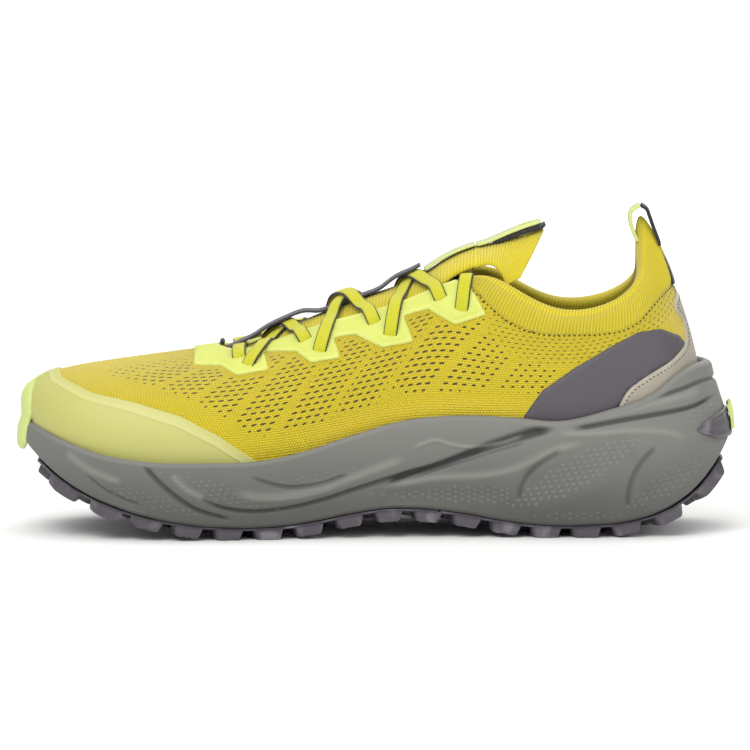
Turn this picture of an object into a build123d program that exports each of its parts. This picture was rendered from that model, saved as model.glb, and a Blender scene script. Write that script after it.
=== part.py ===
"""A knit running shoe for the right foot, drawn at its real size in millimetres.

Frame: +X towards the toe, +Y towards the medial side (the wearer's left), +Z up.
The origin is on the ground, midway between the toe and the heel.
"""

import os
from math import exp, floor, tanh

from build123d import *

os.makedirs("parts", exist_ok=True)

# ---------------------------------------------------------------- driving sizes
FAR = 200.0  # longer than any part, for cutting prisms
BACK = -160.0  # behind the heel
KNIT = 1.8  # knit fabric
FILM = 0.8  # bonded overlays
GLUE_GAP = 0.3  # between bonded layers, filled by glue
INSIDE_GAP = 0.5  # between the knit and what lies inside it
RUBBER_SHEET = 1.5  # outsole between its lugs
STROBEL = 1.2  # board sewn to the bottom of the knit
INSOLE = 4.5
TONGUE = 3.0
TAPE = 1.2  # woven tapes
LACE_WIDTH = 6.0
LACE = 1.5
LUG_DROP = 5.3  # lugs below the foam, before the ground cuts them flat
LUG_FIRST = -136.0
LUG_PITCH = 16.4
LUG_LENGTH = 11.5
LUG_ROWS = 17
EDGE_LUG_WIDTH = 18.0
EDGE_LUG_INSET = 7.0  # its centre, inside the sole's edge
EDGE_LUG_TURN = 12.0  # degrees
ARROW_LUG_TURN = -26.0
RUBBER_SPLIT = -27.0  # x where the heel and forefoot rubber pieces meet
RIM_GAP = 1.6  # between the knit and the foam rim, room for the overlays

# ---------------------------------------------------------------- upper surface
# One row per meridian of the medial half, heel to toe. A meridian is a cubic curve
# from the foot outline up to the collar or throat edge:
# foot x, medial foot y, lateral foot y, edge x, edge y, edge z,
# height of the lower control point, its bulge, lean of the upper control point, its z
MERIDIANS = [
    (-137, 0, 0, -111.0, 0.0, 130, 76, 0, 0.42, 108),
    (-131, 20, 20, -110.5, 8.5, 119, 74, 0, 0.45, 104),
    (-117, 31, 31, -108.5, 18.0, 106, 70, 1, 0.50, 95),
    (-95, 35.5, 36.5, -96.0, 26.5, 96.5, 66, 2, 0.50, 86),
    (-70, 35.5, 37.5, -76.0, 29.0, 94.5, 64, 2, 0.50, 84),
    (-42, 34, 38.5, -58.0, 27.0, 102.5, 62, 3, 0.60, 88),
    (-20, 34, 40, -40.0, 21.5, 107.0, 62, 4, 0.65, 92),
    (5, 36, 43.5, -12.0, 19.5, 96.3, 60, 4, 0.60, 84.8),
    (32, 41, 47, 15.0, 18.5, 88.3, 56, 3, 0.60, 79),
    (60, 45, 49, 38.0, 16.5, 80.3, 53, 2, 0.60, 73.3),
    (88, 45.5, 46.5, 52.0, 13.0, 75.6, 54, 2, 0.65, 69.6),
    (115, 40, 38, 59.5, 9.0, 75.4, 58, 3, 0.75, 67.2),
    (134, 25.5, 21.5, 62.0, 4.5, 76.1, 65, 7, 0.85, 65.6),
    (142.5, 3, -3, 63.0, 0.0, 76.4, 69.5, 10, 0.90, 65.6),
]
RING_HEIGHTS = [0, 0.12, 0.26, 0.4, 0.54, 0.68, 0.84, 1]

# ---------------------------------------------------------------- sole outline
# x, medial y, lateral y of the midsole at its widest, heel to toe
SOLE_OUTLINE = [
    (-147.8, 0, 0),
    (-145, 14, 14),
    (-137, 28, 28),
    (-121, 39.5, 39),
    (-95, 44, 45),
    (-60, 43.5, 46.5),
    (-25, 42, 48.5),
    (10, 45, 51),
    (45, 51.2, 54.4),
    (80, 55.3, 54),
    (110, 50, 47.5),
    (132, 35, 32),
    (144, 18, 13),
    (147.5, 3, -3),
]
SIDE_FLARE = [(0, -5.5), (12, -2), (28, 0), (44, -0.5), (56, -4), (64, -6.5), (76, -9)]  # z, outline change

# Side views as x, z. The foam's underside, heel to toe:
MIDSOLE_BOTTOM = [
    (-147, 38), (-143, 31), (-135, 21), (-126, 14), (-116, 9.4), (-104, 6.4), (-88, 5),
    (-70, 5), (-52, 7), (-38, 9.6), (-22, 11.7), (-5, 12), (10, 10), (26, 6.8), (42, 5),
    (58, 5), (74, 6.2), (90, 8.8), (106, 13), (119, 18), (130, 24), (139, 31), (146, 38),
]  # fmt: skip
# The foam's rim, toe to heel:
MIDSOLE_RIM = [
    (147.5, 47), (133, 41), (115, 35.6), (96, 33), (70, 32.4), (47, 33), (30, 36.2), (10, 42.5),
    (-12, 48.6), (-34, 50.6), (-56, 50), (-76, 48.6), (-98, 53.4), (-116, 59), (-130, 66.5), (-143, 70),
]  # fmt: skip
HEEL_CORNERS = [(BACK, 70), (BACK, 38)]
# The rubber strip up the toe: its inside and outside faces, low to high
TOE_BUMPER_INNER = [
    (142.6, 33.4), (146.8, 36.8), (148.0, 41), (148.0, 46.5), (147.0, 52.5), (145.3, 60), (142.2, 65.5),
]  # fmt: skip
TOE_BUMPER_OUTER = [
    (143.9, 32.1), (148.3, 35.8), (150, 41), (150, 47), (149, 53.5), (147.2, 60.5), (143.6, 66),
]  # fmt: skip
TOE_BUMPER_HALF = 15.0
TOE_BUMPER_Y = 2.5
TOE_BUMPER_CURVE = 1 / 75  # the strip falls back by this times y * y
# The pointed rubber guard round the heel, and the badge behind it
HEEL_GUARD_THICKNESS = 0.8
HEEL_GUARD = [(-133, 43.5), (-137, 46.5), (-145, 50), (-160, 50), (-160, 38.5), (-140, 39.5)]
HEEL_BADGE = [(-149.0, 41), (-150, 42), (-149.4, 49), (-148.2, 53), (-147.2, 52), (-148.6, 46)]
HEEL_BADGE_HALF = 7.0
HEEL_BADGE_CURVE = -1 / 70

# Overlay outlines in the side view, as x, z.
COLLAR_SEAM = [
    (-37, 105.5), (-45, 98), (-52, 91.5), (-60, 86.6), (-69, 84), (-82, 83.6), (-94, 84),
    (-104, 86), (-110, 89.5), (-115, 95), (-122, 101.5), (-135, 106),
]  # fmt: skip
TOE_CAP_EDGE = [
    (134, 80), (132.6, 69), (130, 64), (116.5, 59), (99, 55.8), (80, 50.5), (65, 43), (50, 33), (44, 26),
]  # fmt: skip
HEEL_PANEL_EDGE = [
    (-60, 44), (-61.5, 50), (-69, 60.5), (-82, 69.6), (-96.5, 78), (-108.5, 84), (-118, 85), (-126, 81.5),
]  # fmt: skip
HEEL_OVERLAY_EDGE = [
    (-128, 100.5), (-124.3, 95.5), (-124.4, 91.5), (-129, 85), (-129, 77.5), (-122.5, 72),
    (-112, 66), (-104, 60), (-99, 50),
]  # fmt: skip
HEEL_OVERLAY_CORNERS = [(-99, 30), (BACK, 30), (BACK, 100.5)]
# The bonded eyestay: a patch across the toe end of the throat and four pointed lace tabs.
EYESTAY = [
    (75, 95), (75, 70.2), (64, 70.2), (57, 66.7), (43.8, 68.9), (46, 75.6), (33, 76.4), (26.5, 71.8),
    (14, 73.7), (17, 82), (8.4, 83.9), (-2.7, 78.1), (-16, 80.5), (-12, 91.0), (-21.7, 94.2),
    (-33, 87.5), (-46, 91.8), (-37.5, 106.0), (-37.5, 125),
]  # fmt: skip

# ---------------------------------------------------------------- tongue and laces
# x, z of the tongue's outside surface on the middle line, from the free end forwards
TONGUE_RIDGE = [
    (-71, 125.4), (-66, 124.1), (-60, 122.2), (-55, 120.7), (-50, 119.1), (-45, 117.9), (-41, 117.2),
    (-38, 116.2), (-33, 114.0), (-28, 111.3), (-25, 109.3), (-22, 107.3), (-19, 105.3), (-15.5, 103.4),
    (-10, 101.2), (0, 97.8), (10, 94.3), (20, 90.4), (30, 86.3), (40, 81.9), (50, 77.4), (60, 72.8),
    (70, 68.1),
]  # fmt: skip
# x and half width of the tongue's sections; it is narrow beside the last lace legs
TONGUE_STATIONS = [
    (66, 20), (55, 21), (44, 21.5), (32, 22), (18, 22), (4, 22), (-10, 22), (-15, 20.2), (-20, 18.2),
    (-25, 17.7), (-30, 17.4), (-35, 17.3), (-40.6, 17.2),
]  # fmt: skip
# x, half width and how far each section leans back as it falls
TOP_STATIONS = [
    (-41.4, 17.2, 0.15), (-47, 17.6, 0), (-51, 18, -0.06), (-55, 18.5, -0.15), (-62, 19, -0.35),
    (-71, 19, -0.55),
]  # fmt: skip
WEBBING_HALF = 6.0
WEBBING_LAYER = 0.35  # between the tongue and its woven tape
# x of the front lace bar and the crossings, and how high the tape is lifted there
WEBBING_LIFTS = [(56, 5.6), (36.5, 4.05), (-15.5, 4.05)]
# Lace slots in the eyestay as x, z in the side view, toe to heel
BAR_SLOT = (56.0, 72.6)
UPPER_SLOTS = [(28.4, 80.0), (0, 87.2), (-27.5, 97.2)]
LOWER_SLOTS = [(52.3, 70.4), (22.9, 76.3), (-6.4, 83.0)]
TAIL_SLOT = (-36, 94)
CROSSINGS = [36.5, 11.5, -15.5]  # x where the legs cross over the ridge
LACE_REST = 0.45  # between a lace and what it lies on
LACE_ARCH = 1.0  # more room where a flat lace crosses a curved edge
LACE_OVER_TAPE = 0.8  # more room where an arched lace crosses the flat tape
SIDE_LIFTS = [2.2, 0, 0]  # more room beside the throat edge for the legs of each lower slot
# y and z of the front bar's middle where it bridges the throat, the medial half
BAR_ARCH = [(12, 77.9), (8, 78.0), (4, 77.4), (0, 77.3)]
BAR_CROWN = 30  # radius of the way it leans outwards
TAIL_INSIDE = [(-38.3, 18.6, 106), (-38.8, 18.7, 99), (-39.8, 19.5, 88), (-40.6, 20.5, 77)]
AGLET = 1.6  # radius
AGLET_LENGTH = 12.0
BARTACK_X = 65.0  # the stitched bar that ends the woven tape
BARTACK_Z = 79.3
BARTACK = 1.2  # radius
BARTACK_LENGTH = 10.0
# Pull tab of the tongue: undersides of its tapes as x, z
TAB_BASE = [(-22, 110.2), (-28, 112.9), (-33, 115.2), (-38, 117.6)]
TAB_STRIP = [(-42, 119.6), (-50, 123.2), (-58, 126), (-64, 127.6), (-68.5, 128)]
TAB_LINING = [(-50, 119.8), (-55, 121.5), (-60, 123.1), (-66, 125.0), (-70, 126.2)]
TAB_WIDTH = 14.0
TAB_HOLE = 3.0  # radius
TAB_HOLE_X = -62.0

# ---------------------------------------------------------------- heel tape and inside layers
HEEL_TAPE = 1.6  # thickness of the pull loop and the tape below it
LOOP_WIDTH = 12.0
LOOP_FRONT = [(-108.6, 120.6), (-107.1, 124), (-106.0, 129), (-106.6, 133.4), (-110, 135.9)]
LOOP_BACK = [(-111.0, 135.8), (-114, 134), (-117.3, 129), (-119, 124), (-120.0, 119.8)]
HEEL_TAPE_LOW = 101.5  # z
HEEL_TAPE_HIGH = 118.5
PADDING_TOP = 113.0
PADDING = 3.5
PADDING_LOW = [(-48, 98), (-55, 86), (-70, 79), (-90, 78.5), (-104, 80), (-116, 84), (-135, 88)]
COUNTER_LOW = 58.0
COUNTER_TOP = [(-70, 55), (-76, 61), (-92, 69), (-112, 75.5), (-140, 76)]
TOE_PUFF_EDGE = [(96, 47), (104, 55), (120, 61), (130, 66), (133, 76)]


def footbed_z(x):
    """Height of the foam under the foot: a heel seat, a drop and a toe spring."""
    heel_seat = 33.0
    drop = 11.5 / (1 + exp((15 - x) / 14))
    toe_spring = 0.0042 * max(0.0, x - 75) ** 2
    return heel_seat - drop + toe_spring


def around(rows):
    """Heel-to-toe rows of (x, medial y, lateral y, ...) as one loop of (row, y)."""
    medial = [(row, row[1]) for row in rows]
    lateral = [(row, -row[2]) for row in rows[-2:0:-1]]
    return medial + lateral


def grown_outline(rows, distance):
    """A closed outline through the rows, moved out by distance, as a wire in z = 0."""
    points = [Vector(row[0], y, 0) for row, y in around(rows)]
    count = len(points)
    tangents = [points[(i + 1) % count] - points[i - 1] for i in range(count)]
    moved = [p + t.normalized().cross(Vector(0, 0, -1)) * distance for p, t in zip(points, tangents)]
    return Wire([Edge.make_spline(moved, periodic=True)])


# ---------------------------------------------------------------- upper surface
def meridian_controls():
    """The four control points of every meridian, from the heel round the medial side."""
    controls = []
    for row, foot_y in around(MERIDIANS):
        foot_x, _, _, edge_x, edge_y, edge_z, low_z, bulge, lean, high_z = row
        side = 1 if foot_y > 0 else -1
        foot = Vector(foot_x, foot_y, footbed_z(foot_x) + STROBEL)
        edge = Vector(edge_x, side * edge_y, edge_z)
        outward = Vector(foot.X - edge.X, foot.Y - edge.Y, 0)
        low = Vector(foot.X, foot.Y, low_z) + outward.normalized() * bulge
        high = Vector(edge.X, edge.Y, high_z) + outward * lean
        controls.append((foot, low, high, edge))
    return controls


CONTROLS = meridian_controls()


def on_meridian(index, t):
    """A point on one meridian, from t = 0 at the foot to t = 1 at the edge."""
    foot, low, high, edge = CONTROLS[index % len(CONTROLS)]
    s = 1 - t
    return foot * s**3 + low * (3 * s * s * t) + high * (3 * s * t * t) + edge * t**3


def upper_normal(index, t):
    """The outward normal of the upper's surface at a meridian."""
    step = 0.01
    along = on_meridian(index + 1, t) - on_meridian(index - 1, t)
    up = on_meridian(index, min(1.0, t + step)) - on_meridian(index, max(0.0, t - step))
    return up.cross(along).normalized()


def upper_ring(t, offset, heel_extra=0.0):
    """A closed ring at one height, off the surface by offset, and by heel_extra more at the heel."""
    count = len(CONTROLS)
    points = []
    for i in range(count):
        from_heel = min(i, count - i)
        at_heel = min(1.0, max(0.0, (8 - from_heel) / 3))
        points.append(on_meridian(i, t) + upper_normal(i, t) * (offset + heel_extra * at_heel))
    return Wire([Edge.make_spline(points, periodic=True)])


def upper_band(inner, outer, inner_extra=0.0, outer_extra=0.0, heights=RING_HEIGHTS):
    """The upper as a closed solid between two offsets of its surface."""
    inside = [upper_ring(t, inner, inner_extra) for t in heights]
    outside = [upper_ring(t, outer, outer_extra) for t in heights]
    faces = Shell.make_loft(inside).faces() + Shell.make_loft(outside).faces()
    for ring in (0, -1):
        faces += Shell.make_loft([inside[ring], outside[ring]], ruled=True).faces()
    return Solid(Shell(faces))


def between_meridians(place, t):
    """A point on the surface at a fractional meridian number."""
    index = floor(place)
    s = place - index
    before, first, second, after = [on_meridian(index + k, t) for k in (-1, 0, 1, 2)]
    line = first * 2 + (second - before) * s
    bend = (before * 2 - first * 5 + second * 4 - after) * s**2
    twist = (first * 3 - before - second * 3 + after) * s**3
    return (line + bend + twist) / 2


def on_upper(x, z, side):
    """The point of the upper's surface nearest to a place in the side view, and its normal."""

    def miss(spot):
        point = between_meridians(spot[0], spot[1])
        return (point.X - x) ** 2 + (point.Z - z) ** 2

    last = side * (len(MERIDIANS) - 1)
    grid = [(last * k / 52, 0.3 + 0.7 * up / 14) for k in range(1, 52) for up in range(15)]
    spot = min(grid, key=miss)
    step_place, step_t = 0.25, 0.04
    for _ in range(12):
        moves = [(a * step_place, b * step_t) for a in (-1, 0, 1) for b in (-1, 0, 1)]
        near = [(spot[0] + da, min(1.0, spot[1] + db)) for da, db in moves]
        best = min(near, key=miss)
        if best == spot:
            step_place, step_t = step_place / 2, step_t / 2
        spot = best
    point = between_meridians(*spot)
    along = between_meridians(spot[0] + 0.05, spot[1]) - between_meridians(spot[0] - 0.05, spot[1])
    up = between_meridians(spot[0], min(1.0, spot[1] + 0.01)) - between_meridians(spot[0], spot[1] - 0.01)
    return point, up.cross(along).normalized()


# ---------------------------------------------------------------- shared blocks
def loft_outlines(rows, levels, extra=0.0):
    """A block through the outline at each (z, change) level, everywhere larger by extra."""
    wires = [grown_outline(rows, change + extra).moved(Location((0, 0, z))) for z, change in levels]
    return Solid.make_loft(wires)


def raw_sole(extra=0.0):
    """The foam's side walls, before its underside, rim and foot cavity are cut."""
    return loft_outlines(SOLE_OUTLINE, SIDE_FLARE, extra)


def foot_prism(distance):
    """A tall prism on the foot outline, moved out by distance."""
    foot_rows = [(row[0], row[1], row[2]) for row in MERIDIANS]
    outline = Face(grown_outline(foot_rows, distance))
    return Solid.extrude(outline, (0, 0, FAR))


def side_prism(curve, corners=(), low_y=-FAR, high_y=FAR):
    """A prism across the shoe on a side-view outline.

    curve is a smooth run of (x, z), and corners closes it with straight lines."""
    with BuildPart() as prism:
        with BuildSketch(Plane.XZ.offset(-high_y)):
            with BuildLine():
                Spline(*curve)
                Polyline(curve[-1], *corners, curve[0])
            make_face()
        extrude(amount=high_y - low_y)
    return prism.part


def footbed_curve(rise, first=-150, last=150, step=20):
    """Points along the footbed, raised by rise."""
    return [(x, footbed_z(x) + rise) for x in range(first, last + 1, step)]


def save(part, name):
    part.label = name
    export_step(part, f"parts/{name}.step")


KNIT_BAND = upper_band(-KNIT, 0)
OVERLAY_BAND = upper_band(GLUE_GAP, GLUE_GAP + FILM)

# ---------------------------------------------------------------- sole unit
SKY = [(170, 160), (-170, 160)]

with BuildPart() as foot_cavity:
    add(foot_prism(RIM_GAP))
    add(side_prism(footbed_curve(0), SKY), mode=Mode.INTERSECT)

with BuildPart() as midsole:
    add(raw_sole())
    with BuildSketch(Plane.XZ):
        with BuildLine():
            Spline(*MIDSOLE_BOTTOM)
            Polyline(MIDSOLE_BOTTOM[-1], MIDSOLE_RIM[0])
            Spline(*MIDSOLE_RIM)
            Polyline(MIDSOLE_RIM[-1], *HEEL_CORNERS, MIDSOLE_BOTTOM[0])
        make_face()
    extrude(amount=FAR, both=True, mode=Mode.INTERSECT)
    add(foot_cavity.part, mode=Mode.SUBTRACT)
    add(upper_band(-KNIT, RIM_GAP), mode=Mode.SUBTRACT)
save(midsole.part, "midsole")


def underside(drop):
    """The foam's underside curve, lowered by drop at right angles to itself."""
    lowered = []
    for i, (x, z) in enumerate(MIDSOLE_BOTTOM):
        before = MIDSOLE_BOTTOM[max(0, i - 1)]
        after = MIDSOLE_BOTTOM[min(len(MIDSOLE_BOTTOM) - 1, i + 1)]
        along = Vector(after[0] - before[0], 0, after[1] - before[1]).normalized()
        lowered.append((x + along.Z * drop, z - along.X * drop))
    return lowered


def under_layer(top_drop, bottom_drop):
    """A layer under the foam, between two drops below its underside curve."""
    top = underside(top_drop)
    bottom = underside(bottom_drop)
    with BuildPart() as layer:
        with BuildSketch(Plane.XZ):
            with BuildLine():
                Spline(*top)
                Polyline(top[-1], bottom[-1])
                Spline(*bottom)
                Polyline(bottom[0], top[0])
            make_face()
        extrude(amount=FAR, both=True)
    return layer.part


def sole_half_widths(x):
    """Medial and lateral half width of the sole at x, between its outline points."""
    for back, front in zip(SOLE_OUTLINE, SOLE_OUTLINE[1:]):
        if back[0] <= x <= front[0]:
            share = (x - back[0]) / (front[0] - back[0])
            return [back[k] + (front[k] - back[k]) * share for k in (1, 2)]
    return [0, 0]


def lug_field():
    """Tall prisms on the tread pattern: edge lugs and two rows of arrow lugs."""
    with BuildPart() as field:
        with BuildSketch(Plane.XY.offset(-20)):
            for i in range(LUG_ROWS):
                x = LUG_FIRST + i * LUG_PITCH
                medial, lateral = sole_half_widths(x)
                for side, half in ((1, medial), (-1, lateral)):
                    edge_y = side * (half - EDGE_LUG_INSET)
                    with Locations(Location((x, edge_y, 0), side * EDGE_LUG_TURN)):
                        Rectangle(LUG_LENGTH, EDGE_LUG_WIDTH)
                    arrow_y = side * half * 0.32
                    with Locations(Location((x + LUG_PITCH / 2 - 3, arrow_y, 0), side * ARROW_LUG_TURN)):
                        Rectangle(LUG_LENGTH * 0.62, half * 0.42)
        extrude(amount=60)
    return field.part


with BuildPart() as tread:
    add(under_layer(RUBBER_SHEET - 0.2, LUG_DROP))
    add(lug_field(), mode=Mode.INTERSECT)
    add(under_layer(GLUE_GAP, RUBBER_SHEET))
    add(raw_sole(-0.8), mode=Mode.INTERSECT)
    with Locations((0, 0, FAR / 2)):
        Box(2 * FAR, FAR, FAR, mode=Mode.INTERSECT)

rubber_pieces = (("outsole_heel", -143.5, RUBBER_SPLIT), ("outsole_forefoot", RUBBER_SPLIT + 1, 139))
for name, back_x, front_x in rubber_pieces:
    with BuildPart() as outsole:
        add(tread.part)
        with Locations(((back_x + front_x) / 2, 0, 0)):
            Box(front_x - back_x, FAR, FAR, mode=Mode.INTERSECT)
    save(outsole.part, name)

with BuildPart() as heel_guard:
    add(raw_sole(GLUE_GAP + HEEL_GUARD_THICKNESS))
    add(raw_sole(GLUE_GAP), mode=Mode.SUBTRACT)
    with BuildSketch(Plane.XZ):
        with BuildLine():
            Polyline(*HEEL_GUARD, close=True)
        make_face()
    extrude(amount=FAR, both=True, mode=Mode.INTERSECT)
save(heel_guard.part, "heel_guard")


def wrapped_strip(outline, center_y, half_width, curve, corner):
    """A strip lofted across the shoe: its side outline falls back by curve * y * y."""
    wires = []
    for share in (-1, -0.9, -0.5, 0, 0.5, 0.9, 1):
        y = share * half_width
        shrink = corner if abs(share) == 1 else 1.0
        middle_z = sum(z for _, z in outline) / len(outline)
        moved = []
        for x, z in outline:
            moved.append(Vector(x - curve * y * y, center_y + y, middle_z + (z - middle_z) * shrink))
        wires.append(Wire.make_polygon(moved, close=True))
    return Solid.make_loft(wires, ruled=True)


with BuildPart() as heel_badge:
    add(wrapped_strip(HEEL_BADGE, 0, HEEL_BADGE_HALF, HEEL_BADGE_CURVE, 0.8))
save(heel_badge.part, "heel_badge")


def footbed_layer(inset, low_rise, high_rise, name):
    """A layer on the footbed, inset from the foot outline, between two rises above it."""
    low = footbed_curve(low_rise)
    high = footbed_curve(high_rise)
    with BuildPart() as layer:
        add(foot_prism(-inset))
        with BuildSketch(Plane.XZ):
            with BuildLine():
                Spline(*low)
                Polyline(low[-1], high[-1])
                Spline(*high)
                Polyline(high[0], low[0])
            make_face()
        extrude(amount=FAR, both=True, mode=Mode.INTERSECT)
    save(layer.part, name)


footbed_layer(KNIT + INSIDE_GAP, GLUE_GAP, STROBEL, "strobel_board")
footbed_layer(KNIT + 1.2, STROBEL + GLUE_GAP, STROBEL + INSOLE, "insole")

# ---------------------------------------------------------------- upper
with BuildPart() as collar_cuff:
    add(KNIT_BAND)
    add(side_prism(COLLAR_SEAM, [(BACK, 106), (BACK, 150), (-37, 150)]), mode=Mode.INTERSECT)
save(collar_cuff.part, "collar_cuff")

with BuildPart() as upper_knit:
    add(KNIT_BAND)
    knit_seam = [(x, z - GLUE_GAP) for x, z in COLLAR_SEAM]
    seam_corners = [(BACK, 106 - GLUE_GAP), (BACK, 150), (-37, 150)]
    add(side_prism(knit_seam, seam_corners), mode=Mode.SUBTRACT)
save(upper_knit.part, "upper_knit")

with BuildPart() as toe_cap:
    add(OVERLAY_BAND)
    add(side_prism(TOE_CAP_EDGE, [(170, 20), (170, 80)]), mode=Mode.INTERSECT)
save(toe_cap.part, "toe_cap")

for side, name in ((1, "heel_panel_medial"), (-1, "heel_panel_lateral")):
    low_y, high_y = (0, FAR) if side > 0 else (-FAR, 0)
    with BuildPart() as heel_panel:
        add(OVERLAY_BAND)
        add(side_prism(HEEL_PANEL_EDGE, [(-150, 60), (-150, 44)], low_y, high_y), mode=Mode.INTERSECT)
        overlay_edge = [(x + GLUE_GAP, z) for x, z in HEEL_OVERLAY_EDGE]
        add(side_prism(overlay_edge, HEEL_OVERLAY_CORNERS), mode=Mode.SUBTRACT)
    save(heel_panel.part, name)

with BuildPart() as heel_overlay:
    add(OVERLAY_BAND)
    add(side_prism(HEEL_OVERLAY_EDGE, HEEL_OVERLAY_CORNERS), mode=Mode.INTERSECT)
save(heel_overlay.part, "heel_overlay")

with BuildPart() as eyestay:
    add(OVERLAY_BAND)
    with BuildSketch(Plane.XZ):
        with BuildLine():
            Polyline(*EYESTAY, close=True)
        make_face()
    extrude(amount=FAR, both=True, mode=Mode.INTERSECT)
save(eyestay.part, "eyestay")

with BuildPart() as toe_bumper:
    bumper_outline = TOE_BUMPER_INNER + TOE_BUMPER_OUTER[::-1]
    add(wrapped_strip(bumper_outline, TOE_BUMPER_Y, TOE_BUMPER_HALF, TOE_BUMPER_CURVE, 0.8))
    add(raw_sole(GLUE_GAP), mode=Mode.SUBTRACT)
    add(upper_band(-KNIT, FILM + 2 * GLUE_GAP), mode=Mode.SUBTRACT)
save(toe_bumper.part, "toe_bumper")

# ---------------------------------------------------------------- tongue
def ridge_z(x):
    """Height of the tongue's outside surface on the middle line."""
    rows = TONGUE_RIDGE
    index = 1
    while index < len(rows) - 3 and x > rows[index + 1][0]:
        index += 1
    first, second = rows[index], rows[index + 1]
    slopes = []
    for k in (index, index + 1):
        slopes.append((rows[k + 1][1] - rows[k - 1][1]) / (rows[k + 1][0] - rows[k - 1][0]))
    width = second[0] - first[0]
    s = (x - first[0]) / width
    smooth = first[1] * (1 + 2 * s) * (1 - s) ** 2 + second[1] * s * s * (3 - 2 * s)
    return smooth + width * (slopes[0] * s * (1 - s) ** 2 + slopes[1] * s * s * (s - 1))


def arch(x):
    """How fast the tongue falls away to its sides: the drop is arch * y * y."""
    wing = min(1.0, max(0.0, (-46 - x) / 16))  # its free end wraps the front of the ankle
    return 0.0205 + 0.0045 * tanh((x + 30) / 12) + 0.034 * wing**2 * (3 - 2 * wing)


def tongue_point(x, y, above=0.0):
    """A point over the tongue's outside surface, and the surface's normal there."""
    slope = (ridge_z(x + 1) - ridge_z(x - 1)) / 2
    normal = Vector(-slope, 2 * arch(x) * y, 1).normalized()
    return Vector(x, y, ridge_z(x) - arch(x) * y * y) + normal * above, normal


def tongue_section(x, half_width, lean=0.0):
    """The tongue's outline across the shoe at x, leaning back towards its edges by lean."""
    outer = []
    inner = []
    for share in (-1, -0.6, 0, 0.6, 1):
        y = share * half_width
        drop = arch(x) * y * y
        top = ridge_z(x) - drop
        thick = TONGUE * (0.45 if abs(share) == 1 else 1)
        outer.append((x - lean * drop, y, top))
        inner.append((x - lean * (drop + thick), y, top - thick))
    edges = [
        Edge.make_spline([Vector(*p) for p in outer]),
        Edge.make_line(Vector(*outer[-1]), Vector(*inner[-1])),
        Edge.make_spline([Vector(*p) for p in reversed(inner)]),
        Edge.make_line(Vector(*inner[0]), Vector(*outer[0])),
    ]
    return Wire(edges)


UPPER_CLEARANCE = upper_band(-KNIT - INSIDE_GAP, 4)

with BuildPart() as tongue:
    add(Solid.make_loft([tongue_section(x, half) for x, half in TONGUE_STATIONS]))
    add(UPPER_CLEARANCE, mode=Mode.SUBTRACT)
save(tongue.part, "tongue")

with BuildPart() as tongue_top:
    add(Solid.make_loft([tongue_section(x, half, lean) for x, half, lean in TOP_STATIONS]))
save(tongue_top.part, "tongue_top")


def webbing_under(x):
    """Height of the underside of the woven tape that runs over the laces."""
    lift = sum(rise * exp(-(((x - middle) / 11) ** 4)) for middle, rise in WEBBING_LIFTS)
    return ridge_z(x) + WEBBING_LAYER + lift


def tape_between(curve, width, thickness):
    """A flat tape across the shoe with its underside on a run of (x, z), front to back."""
    count = len(curve)
    top = []
    for i, (x, z) in enumerate(curve):
        before = curve[max(0, i - 1)]
        after = curve[min(count - 1, i + 1)]
        along = Vector(after[0] - before[0], 0, after[1] - before[1]).normalized()
        top.append((x + along.Z * thickness, z - along.X * thickness))
    with BuildPart() as tape:
        with BuildSketch(Plane.XZ):
            with BuildLine():
                Spline(*curve)
                Polyline(curve[-1], top[-1])
                Spline(*reversed(top))
                Polyline(top[0], curve[0])
            make_face()
        extrude(amount=width / 2, both=True)
    return tape.part


with BuildPart() as tongue_webbing:
    stations = range(60, -21, -4)
    add(tape_between([(x, webbing_under(x)) for x in stations], 2 * WEBBING_HALF, TAPE))
save(tongue_webbing.part, "tongue_webbing")

with BuildPart() as throat_bartack:
    with Locations(Location((BARTACK_X, 0, BARTACK_Z), (90, 0, 0))):
        Cylinder(BARTACK, BARTACK_LENGTH)
save(throat_bartack.part, "throat_bartack")

with BuildPart() as pull_tab_base:
    add(tape_between(TAB_BASE, TAB_WIDTH, TAPE))
save(pull_tab_base.part, "pull_tab_base")

with BuildPart() as pull_tab_strip:
    add(tape_between(TAB_STRIP, TAB_WIDTH, TAPE))
    with Locations((TAB_HOLE_X, 0, 120)):
        Cylinder(TAB_HOLE, 60, mode=Mode.SUBTRACT)
save(pull_tab_strip.part, "pull_tab_strip")

with BuildPart() as pull_tab_lining:
    add(tape_between(TAB_LINING, TAB_WIDTH, TAPE))
    with Locations((TAB_HOLE_X, 0, 120)):
        Cylinder(TAB_HOLE, 60, mode=Mode.SUBTRACT)
save(pull_tab_lining.part, "pull_tab_lining")


# ---------------------------------------------------------------- laces
def edge_at(x):
    """Half width and height of the throat edge at x."""
    rows = [row[3:6] for row in MERIDIANS if row[3] > -60]
    for back, front in zip(rows, rows[1:]):
        if back[0] <= x <= front[0]:
            share = (x - back[0]) / (front[0] - back[0])
            return [back[k] + (front[k] - back[k]) * share for k in (1, 2)]
    return list(rows[-1][1:])


def smoothed(stations, steps=3):
    """More stations on a smooth curve through the given ones."""
    count = len(stations)
    result = []
    for i in range(count - 1):
        four = [stations[min(count - 1, max(0, i + k))] for k in (-1, 0, 1, 2)]
        for step in range(steps):
            s = step / steps
            pair = []
            for part in (0, 1):
                before, first, second, after = [station[part] for station in four]
                line = first * 2 + (second - before) * s
                bend = (before * 2 - first * 5 + second * 4 - after) * s**2
                twist = (first * 3 - before - second * 3 + after) * s**3
                pair.append((line + bend + twist) / 2)
            result.append((pair[0], pair[1].normalized()))
    return result + [stations[-1]]


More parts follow.
